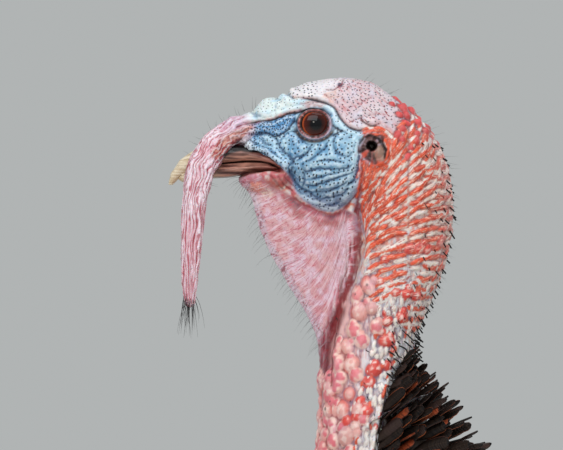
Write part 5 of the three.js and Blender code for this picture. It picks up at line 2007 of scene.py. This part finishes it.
def ruff_tones(count, draws):
    """Mostly black feathers, some brown and a few rusty, with brown or orange lines along their edges."""
    chance = draws.random(count)
    tones = repeated(srgb(14, 11, 12), count)
    tones = blend(tones, srgb(52, 38, 36), (chance > 0.74) * 1.0)
    tones = blend(tones, srgb(150, 66, 36), (chance > 0.9) * 1.0)
    edges = blend(repeated(srgb(74, 54, 50), count), srgb(186, 100, 58), draws.random(count) ** 3)
    return tones, edges


def body_feathers(lie):
    """All the contour feathers of the neck, trunk and thighs, in groups that are each one piece."""
    draws = np.random.default_rng(21)
    roots = lie.scattered(feather_gap, lambda flat: (bare_edge(flat) > 0), 5)
    _, facing = lie.nearest(roots)
    gaps = feather_gap(roots)
    x, height = region_of(roots)
    wing_middle, wing_half = wing_span(x)
    up_wing = height - wing_middle
    under_wing = (np.abs(roots[:, 1]) > 60) & (x > 28)
    under_wing &= (up_wing > 22 - wing_half) & (up_wing < 0.3 * wing_half)
    thigh = on_thigh(roots, 335, 36)
    rump = (x > 330) & ~under_wing
    back = (facing[:, 2] > 0.25) & (bare_edge(roots) > 95) & ~rump & ~under_wing & ~thigh
    ruff = (bare_edge(roots) <= 90) & ~thigh
    breast = ~(under_wing | thigh | rump | back | ruff)
    groups = {"ruff": ruff, "breast": breast, "back": back, "rump": rump, "thighs": thigh}
    plain = feather_material("body_feather")
    banded = feather_material("rump_feather", band=0.74, tip_start=0.87)
    dull = feather_material("thigh_feather", band=0.86, metal=0.15, roughness=0.5)
    edged = feather_material("ruff_feather", band=0.93, metal=0.08, roughness=0.55, edge=0.82, gloss=0.15)
    materials = {"ruff": edged, "breast": plain, "back": plain, "rump": banded, "thighs": dull}
    for name, chosen in groups.items():
        spots, out, gap = roots[chosen], facing[chosen], gaps[chosen]
        headings = lie_of(spots, out, draws)
        lengths = gap * 3.4 * draws.uniform(0.9, 1.12, len(spots))
        widths = gap * 1.75 * draws.uniform(0.92, 1.1, len(spots))
        tones = feather_tones(spots, 22)
        lift = 0.02 * draws.uniform(0.4, 1.4, len(spots))
        tips = repeated(CHESTNUT, len(spots)) * draws.uniform(0.8, 1.15, (len(spots), 1))
        roll = 0.0
        if name == "ruff":
            lift = 0.05
            long = step(-104, -128, spots[:, 2])
            lengths = np.maximum(np.minimum(lengths, 18), 6 + 12 * long)
            lengths = lengths * draws.uniform(0.85, 1.12, len(spots))
            widths = np.maximum(widths, 2.4 + 2.6 * long)
            black, edges = ruff_tones(len(spots), draws)
            bronzed = step(40, 90, bare_edge(spots))
            tones = black + (tones - black) * bronzed[:, None]
            tips = edges
            roll = draws.normal(0, 0.25, len(spots))
        if name == "thighs":
            tones = blend(tones, srgb(96, 74, 54), np.full(len(spots), 0.7))
            lengths = np.minimum(lengths, 15 + 0.3 * (from_head(spots)[:, 2] - THIGH_LOW) / MM)
        paths, ups = followed(spots, out, headings, lengths, lie, (-1.0, coat_depth(spots) * 0.85), lift)
        if name == "ruff":
            stand = (step(95, 55, bare_edge(spots)) * step(4, 20, spots[:, 0]))[None, :, None]
            up_paths, up_faces = raised(spots, out, lengths, draws)
            paths = paths + (up_paths - paths) * stand
            ups = unit(ups + (up_faces - ups) * stand)
        looks = {"tone": tones, "tip": tips}
        mesh = vanes(name + "_feathers", paths, ups, widths, looks, roll=roll)
        new_piece(name + "_feathers", mesh, materials[name])


# ---- folded wings ----
# Rows of flight feathers: name, first and last x of the roots, lowest and highest root as a share of the
# half height, how many, length, width, height over the form at the root and the tip, and their marks.
WING_ROWS = [
    ("primaries", 292, 306, -0.86, 0.52, 10, 284, 31, (-1.0, 1.0), "barred"),
    ("secondaries", 176, 196, -0.93, 0.60, 15, 194, 34, (0.6, 2.8), "faded"),
]
COVERTS_END = 168.0  # the last x at which coverts are rooted on the wing's outer face
TOP_END = 318.0  # the last x at which they are rooted along its upper edge
TOP_LEVEL = 0.42  # the share of the wing's half height above which its upper edge begins
WELL_OUTSIDE = 300.0


def wing_span(x):
    """The folded wing's middle height over the floor and its half height, at x from the eyes."""
    rows = np.array(WING_LINE)
    return np.interp(x, rows[:, 0], rows[:, 1]), np.interp(x, rows[:, 0], rows[:, 2], left=0, right=0)


def ease(paths):
    """Eases each inner ring of a set of paths towards its neighbours, in place."""
    paths[1:-1] = (paths[:-2] + 2 * paths[1:-1] + paths[2:]) / 4


def side_paths(form, side, starts, levels, lengths, rise, rings):
    """Paths on a wing's outer face along lines of constant share of its height."""
    t = shares(rings)
    count = len(starts)
    paths = np.zeros((rings, count, 3))
    ups = np.zeros((rings, count, 3))
    for index in range(count):
        for ring in range(rings):
            x = starts[index] + lengths[index] * t[ring]
            middle, half = wing_span(x)
            z = middle + levels[index] * (1 - 0.12 * t[ring]) * half - EYE[2] / MM
            found = form.hit((x, side * WELL_OUTSIDE, z), (0, -side, 0))
            if found is None:
                place, _, _, _ = form.tree.find_nearest(Vector((x, side * WELL_OUTSIDE, z)))
                found = (np.array(place), np.array([0, side, 0]))
            facing = found[1] + np.array([0, side * 1.2, 0])
            facing /= np.linalg.norm(facing)
            height = rise[0] + (rise[1] - rise[0]) * t[ring]
            paths[ring, index] = np.array([x, found[0][1], z]) + facing * height
            ups[ring, index] = facing
    # Steps where a line passes over an edge are eased.
    for _ in range(3):
        ease(paths)
        ease(ups)
    return paths, ups


def wing_feathers(side_name, side, form_mesh, materials):
    """One wing: its barred flight feathers, then the coverts over their roots."""
    form = Form(form_mesh)
    draws = np.random.default_rng(40)
    for name, first, last, low, high, count, length, width, rise, marks in WING_ROWS:
        share = np.linspace(0, 1, count)
        levels = low + (high - low) * share
        starts = first + (last - first) * share + draws.uniform(-2, 2, count)
        lengths = length * draws.uniform(0.97, 1.03, count)
        if name == "primaries":
            lengths = lengths * (0.80 + 0.20 * share)
        if name == "secondaries":
            lengths = lengths * (1 - 0.07 * np.abs(share - 0.4))
        paths, ups = side_paths(form, side, starts, levels, lengths, rise, 16)
        paths = paths + ups * np.linspace(0.4, 2.0, count)[None, :, None]
        widths = width * draws.uniform(0.95, 1.05, count)
        tones = feather_tones(paths[0], 42)
        looks = {"tone": tones, "tip": repeated(CHESTNUT, count)}
        piece = name + "_feathers_" + side_name
        mesh = vanes(piece, paths, ups, widths, looks, camber=0.12, tip=0.1, root=0.5, roll=-side * 0.1)
        replaced = {"secondaries": ["wing_" + side_name], "primaries": ["primaries_" + side_name]}
        new_piece(piece, mesh, materials[marks], replaced[name])
    wing_coverts(side_name, side, form_mesh, materials["covert"])


def wing_coverts(side_name, side, form_mesh, material):
    """Coverts over the front of a wing, small at its edge and large where they meet the flight feathers."""
    lie_here = Lie([form_mesh])
    draws = np.random.default_rng(45)

    def gap(flat):
        return 8.5 + 9.5 * step(10, COVERTS_END, flat[:, 0])

    def level_of(flat):
        middle, half = wing_span(flat[:, 0])
        return (from_head(flat)[:, 2] / MM - middle) / np.maximum(half, 1)

    def rooted(flat):
        on_top = (level_of(flat) > TOP_LEVEL + 0.3 * step(COVERTS_END, TOP_END, flat[:, 0]))
        return (flat[:, 0] < COVERTS_END) | (on_top & (flat[:, 0] < TOP_END))

    roots = lie_here.scattered(gap, rooted, 46)
    _, facing = lie_here.nearest(roots)
    outer = side * facing[:, 1] > -0.45
    roots, facing = roots[outer], facing[outer]
    level = level_of(roots)
    ahead = np.stack([np.ones(len(roots)), np.full(len(roots), side * 0.4), -0.08 - 0.16 * level], 1)
    ahead = unit(along_surface(ahead, facing))
    sizes = gap(roots)
    longer = 2.7 + 1.2 * step(40, COVERTS_END, roots[:, 0])
    lengths = sizes * longer * draws.uniform(0.92, 1.1, len(roots))
    widths = sizes * 1.7 * draws.uniform(0.94, 1.08, len(roots))
    rise = (-0.8, 4.0 + 2.5 * step(-10, 60, roots[:, 0]))
    paths, ups = followed(roots, facing, ahead, lengths, lie_here, rise, 0.01)
    tones = blend(feather_tones(roots, 41), COPPER, 0.6 * step(60, COVERTS_END, roots[:, 0]))
    name = "wing_coverts_" + side_name
    mesh = vanes(name, paths, ups, widths, {"tone": tones, "tip": repeated(CHESTNUT, len(roots))})
    new_piece(name, mesh, material)


def barred_material(name, ground, bar, bars_per_mm, bar_share, band=2.0, end=2.0, waves=0.0):
    """A flight or tail feather with cross bars, and perhaps a dark band and a chestnut end.

    The band and the end start at these shares of the feather; past 1 there is none.
    """
    shade = Shader(name)
    u, t, chance, out, across, along, barb, hairy = barb_fields(shade, 0.5, 1.4, 0.1)
    drift = shade.noise(shade.vector(along * 0.045, u * across * 0.12, chance * 61.0), 1.0, 2.0)
    phase = barb * (bars_per_mm * 2 * math.pi) + (drift - 0.5) * (4.5 + waves)
    phase = phase + chance * 3.0 + (hairy - 0.5) * 1.6
    barred = shade.between(shade.math("SINE", phase), bar_share - 0.3, bar_share + 0.3)
    colour = shade.mix(barred, ground, bar)
    colour = shade.mix(shade.between(hairy, 0.55, 0.35, 0.0, 0.35), colour, DARK_BROWN)
    edge = t + (hairy - 0.5) * 0.03
    if band < 1:
        colour = shade.mix(shade.between(edge, band, band + 0.012), colour, VELVET)
    if end < 1:
        colour = shade.mix(shade.between(edge, end, end + 0.012), colour, CHESTNUT)
    # Painted shade along both edges, where the feathers overlap.
    colour = shade.mix(shade.between(out, 0.84, 1.0, 0.0, 0.55), colour, DARK_BROWN)
    colour = shade.mix(shade.between(across, 0.9, 0.4) * 0.8, colour, srgb(84, 62, 44))
    return shade.finish(colour, 0.48, Normal=shade.bump(hairy, 0.0006, 0.8), Specular_IOR_Level=0.35)


# ---- tail ----
def tail_feathers(material):
    """Eighteen tail feathers, closed to a narrow fan, the middle pair on top."""
    solid = Form(remeshed(joined("tail_form", [flesh_of("tail")]), 2.5 * MM))
    low, high = corners_in_head(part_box("tail"))
    rings, count = 22, 18
    t = shares(rings)
    paths = np.zeros((rings, count, 3))
    ups = np.tile([0.0, 0, 1], (rings, count, 1))
    half_tip = high[1] - 16
    for index in range(count):
        place = (index - (count - 1) / 2) / ((count - 1) / 2)
        length = (high[0] - low[0]) - 14 - 9 * abs(place)
        for ring in range(rings):
            x = low[0] + 10 + length * t[ring]
            y = place * (26 + (half_tip - 26) * t[ring])
            found = solid.hit((x, y, 400), (0, 0, -1)) or solid.hit((x, y * 0.9, 400), (0, 0, -1))
            if found is None:
                beside = solid.tree.find_nearest(Vector((x, y, (low[2] + high[2]) / 2)))
                found = (np.array(beside[0]),)
            z = found[0][2]
            paths[ring, index] = (x, y, z - 1.2 - 6.0 * abs(place) * (1 - 0.45 * t[ring]))
        tilt = 0.20 * place
        ups[:, index] = (0, math.sin(tilt), math.cos(tilt))
    for _ in range(4):
        ease(paths[..., 2])
    widths = np.full(count, 44.0)
    looks = {"tone": feather_tones(paths[0], 43), "tip": repeated(CHESTNUT, count)}
    mesh = vanes("tail_feathers", paths, ups, widths, looks, camber=0.06, tip=0.05, root=0.34, across=3)
    new_piece("tail_feathers", mesh, material, ["tail"])


COVERTS = (("upper", -1), ("under", 1))  # the tail's coverts, and which way is in


def tail_coverts(forms, material):
    for mesh, (name, inwards) in zip(forms, COVERTS):
        lie_here = Lie([mesh])
        roots = lie_here.scattered(even_gap(10.5), lambda flat: np.full(len(flat), True), 60)
        _, facing = lie_here.nearest(roots)
        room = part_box("tail_coverts_" + name)[1][0] / MM - EYE_BACK - roots[:, 0]
        keep = (facing[:, 2] * inwards < 0.1) & (facing[:, 0] < 0.5) & (room > 12)
        roots, facing, room = roots[keep], facing[keep], room[keep]
        ahead = np.tile([1.0, 0, -0.22], (len(roots), 1)) + np.array([0, 0.0015, 0]) * roots
        ahead = unit(along_surface(ahead, facing))
        lengths = np.minimum(62.0, room + 10) * np.random.default_rng(61).uniform(0.85, 1.1, len(roots))
        paths, ups = followed(roots, facing, ahead, lengths, lie_here, (-0.5, 4.6), 0.01, 10)
        looks = {"tone": feather_tones(roots, 62), "tip": repeated(CHESTNUT, len(roots))}
        node = "tail_coverts_" + name
        piece_mesh = vanes(node + "_feathers", paths, ups, np.full(len(roots), 26.0), looks)
        new_piece(piece_mesh.name, piece_mesh, material, [node])


# ---- bristles and hairs ----
def strands(name, paths, thickness, seed):
    """Thin three-sided tapered strands along paths, which are ordered by ring, strand and axis."""
    draws = np.random.default_rng(seed)
    rings, count, _ = paths.shape
    t = np.linspace(0, 1, rings)
    ahead = unit(np.gradient(paths, axis=0))
    side = unit(np.cross(ahead, np.array([0.37, 0.61, 0.7])))
    over = np.cross(ahead, side)
    size = thickness / 2 * (1 - 0.8 * t[:, None, None])
    places = np.zeros((rings, 3, count, 3))
    for k in range(3):
        turn = 2 * math.pi * k / 3
        places[:, k] = paths + (side * math.cos(turn) + over * math.sin(turn)) * size
    return tubes(name, places, [-1.0, 0, 1], t, draws, paths[0])


def bent_paths(roots, headings, lengths, bend, draws):
    """Slightly wavering paths that bend towards one direction on their way."""
    rings = 5
    heading = unit(headings)
    paths = np.zeros((rings, len(roots), 3))
    paths[0] = roots
    for ring in range(1, rings):
        paths[ring] = paths[ring - 1] + heading * (lengths / (rings - 1))[:, None]
        heading = unit(heading + bend / (rings - 1) + draws.normal(0, 0.03, heading.shape))
    return paths


def strand_material(name, root, end):
    shade = Shader(name)
    _, along, _ = shade.axes(shade.attribute("vane", "Vector"))
    share = along + (shade.noise(shade.place(), 500.0) - 0.5) * 0.4
    return shade.finish(shade.mix(shade.between(share, 0.0, 0.8), root, end), 0.4, Specular_IOR_Level=0.5)


def beard(lie_here):
    """A hank of coarse bristles that grows out of the middle of the breast and hangs."""
    draws = np.random.default_rng(70)
    low, high = corners_in_head(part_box("beard"))
    count = 340
    turn = draws.uniform(0, 2 * math.pi, count)
    out = np.sqrt(draws.random(count))
    spot, _ = lie_here.nearest(np.array([[low[0], 0, high[2] - 4.0]]))
    root = spot[0] + np.array([1.5, 0, 0])
    t = np.linspace(0, 1, 14)[:, None]
    # Out of the breast in a short curve, fullest a third of the way down, then drawn to an uneven end.
    outward = (low[0] + high[0]) / 2 - root[0]
    forward = outward * np.sin(np.clip(t * 6, 0, 1) * math.pi / 2)
    fullness = 0.45 + 0.55 * np.sin(np.clip(t * 2.2, 0, 1) * math.pi / 2) - 0.5 * np.clip(t - 0.35, 0, 1)
    hang = (high[2] - low[2] - 2) * (0.74 + 0.26 * draws.random(count) ** 0.5)
    wander = np.cumsum(draws.normal(0, 0.35, (len(t), count)), axis=0)
    paths = np.stack([root[0] + forward + out * np.cos(turn) * 8.5 * fullness + wander,
                      out * np.sin(turn) * 6.5 * fullness + wander[:, ::-1],
                      root[2] + 2.5 * np.sin(np.clip(t * 5, 0, 1) * math.pi) - hang * t], 2)
    mesh = strands("beard_bristles", paths, 1.7, 71)
    bristle = strand_material("beard", srgb(16, 13, 12), srgb(50, 38, 31))
    new_piece("beard_bristles", mesh, bristle, ["beard"])


def head_hairs(bare):
    """Fine black hairs on the crown, nape, snood and dewlap, and short black quills down the nape."""
    draws = np.random.default_rng(80)
    lie_here = Lie([bare])

    def where(flat, kind):
        x, z = flat[:, 0], flat[:, 2]
        if kind == "crown":
            return ((x > 22) & (z > 12)) | ((x > 40) & (z > -20))
        if kind == "nape":
            return (x > 50) & (z < -18) & (z > -104)
        if kind == "neck":
            return (x > 2) & (x < 46) & (z < -84) & (z > -186) & (bare_edge(flat) < -1)
        if kind == "dewlap":
            from_front = x - dewlap_front(z)
            return (from_front < 5) & (from_front > -6) & (z < -23) & (z > -100)
        tip = np.linalg.norm(flat - np.array([-55.7, -10.9, -80.5]), axis=1) < 5
        return tip if kind == "snood_tip" else (x < -20) & (x > -58) & (z > -30) & (z < 8)

    # kind, gap between hairs, length, thickness, lift from the skin, pull of the bend
    kinds = [
        ("crown", 4.5, 6.0, 0.12, 0.9, (0.5, 0, 0.1)),
        ("nape", 3.4, 4.2, 0.14, 0.8, (0.3, 0, -0.5)),
        ("dewlap", 2.2, 9.0, 0.14, 0.9, (-0.1, 0, -0.9)),
        ("snood", 3.4, 5.5, 0.14, 1.0, (0.1, 0, 0.2)),
        ("snood_tip", 1.15, 13.5, 0.26, 0.16, (0.0, 0, -1.6)),
        ("neck", 6.5, 2.3, 0.75, 0.35, (0.2, 0, -0.4)),
    ]
    look = strand_material("hair", srgb(18, 15, 18), srgb(40, 34, 36))
    for kind, gap, length, thickness, lift, bend in kinds:
        roots = lie_here.scattered(even_gap(gap), lambda flat: where(flat, kind), 81, 3)
        _, facing = lie_here.nearest(roots)
        count = len(roots)
        slope = {"dewlap": (-0.25, 0, -0.4), "snood_tip": (0, 0, -1.0)}.get(kind, (0.22, 0, -0.25))
        headings = facing * lift + np.array(slope) + draws.normal(0, 0.16, (count, 3))
        lengths = length * draws.uniform(0.6, 1.25, count)
        paths = bent_paths(roots - facing * 0.4, headings, lengths, np.array(bend), draws)
        mesh = strands("hairs_" + kind, paths, thickness, 82)
        new_piece("hairs_" + kind, mesh, look)


def nape_quills(bare):
    """Short stiff black feathers down the back of the neck, sparse above and dense over the ruff."""
    draws = np.random.default_rng(90)
    lie_here = Lie([bare])
    roots = lie_here.scattered(
        lambda flat: 4.4 - 1.8 * step(-70, -96, flat[:, 2]),
        lambda flat: (flat[:, 0] > 32) & (flat[:, 2] < -8)
        & ((flat[:, 2] > -118) | (np.abs(bare_edge(flat) + 1) < 5)),
        91,
    )
    _, facing = lie_here.nearest(roots)
    low = step(-84, -104, roots[:, 2])
    keep = (facing[:, 0] > 0.36 - 0.16 * low) | (bare_edge(roots) > -3.5)
    roots, facing, low = roots[keep], facing[keep], low[keep]
    headings = facing * 0.7 + np.stack([0.2 + 0.1 * low, 0 * low, -0.6 + 0.25 * low], 1)
    headings = unit(headings + draws.normal(0, 0.16, headings.shape))
    lengths = (2.6 + 1.8 * low) * draws.uniform(0.6, 1.3, len(roots))
    rings = 5
    paths = drooping(roots, headings, lengths, 0.22, rings)
    faces = unit(along_surface(facing, headings) + np.array([-0.1, 0, 0.1]))
    tones = repeated(srgb(24, 20, 28), len(roots))
    looks = {"tone": tones, "tip": tones}
    mesh = vanes("nape_quills", paths - facing * 0.4, np.repeat(faces[None], rings, axis=0), lengths * 0.17,
                 looks, tip=0.5, across=1)
    new_piece("nape_quills", mesh, feather_material("nape_quill", band=0.5, metal=0.05))


def claw_material():
    shade = Shader("claw_horn")
    streak = shade.noise(shade.scaled(shade.place(), (300.0, 300.0, 900.0)), 1.0, 3.0)
    colour = shade.mix(shade.between(streak, 0.35, 0.65), srgb(46, 38, 34), srgb(88, 76, 66))
    return shade.finish(colour, 0.38, Normal=shade.bump(streak, 0.0003, 0.5), Specular_IOR_Level=0.5)


place_camera()
place_stage()
bare_mesh, form_mesh = bare_skin()
body_mesh = body_form()
legs_mesh = legs_form()
lie = Lie([body_mesh])
wing_forms = [plumed_form(("wing_" + name, "primaries_" + name), (0, -side, 0), 5.0)
              for name, side in SIDES]
covert_forms = [plumed_form(("tail_coverts_" + name,), (0, 0, down), 5.0) for name, down in COVERTS]
arm_forms = [plumed_form(("wing_" + name,), (0, -side, 0), 9.0, 8.0) for name, side in SIDES]
skin_mesh = union(bare_mesh, [body_mesh, legs_mesh, *arm_forms])
new_piece("skin", skin_mesh, skin_material(), (*FINE_FLESH, *BODY_FLESH[2:], *LEG_FLESH))
body_feathers(lie)
wing_looks = {
    "barred": barred_material("barred_primary", srgb(48, 40, 35), srgb(190, 180, 162), 0.075, 0.2),
    "faded": barred_material("barred_secondary", srgb(70, 54, 43), srgb(168, 150, 126), 0.085, 0.3,
                             waves=1.5),
    "covert": feather_material("wing_covert", band=0.85),
}
for (side_name, side), folded_wing in zip(SIDES, wing_forms):
    wing_feathers(side_name, side, folded_wing, wing_looks)
tail_look = barred_material("barred_tail", srgb(124, 82, 50), srgb(34, 24, 18), 0.2, 0.1, 0.83, 0.94,
                            waves=3.0)
tail_feathers(tail_look)
tail_coverts(covert_forms, feather_material("tail_covert", band=0.76, tip_start=0.88))
beard(lie)
head_hairs(form_mesh)
nape_quills(form_mesh)
claws = claw_material()
for node_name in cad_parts:
    if node_name.startswith(("claw", "spur")):
        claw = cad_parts[node_name]
        claw.data.materials.clear()
        claw.data.materials.append(claws)
eye_look = eye_material()
for side_name, side in SIDES:
    eyeball_name = "eyeball_" + side_name
    new_piece(eyeball_name, eyeball(eyeball_name, side), eye_look, ["eye_" + side_name])
bill_look = bill_material()
for bill_name in ("bill_upper", "bill_lower"):
    bill_piece(bill_name, bill_look)
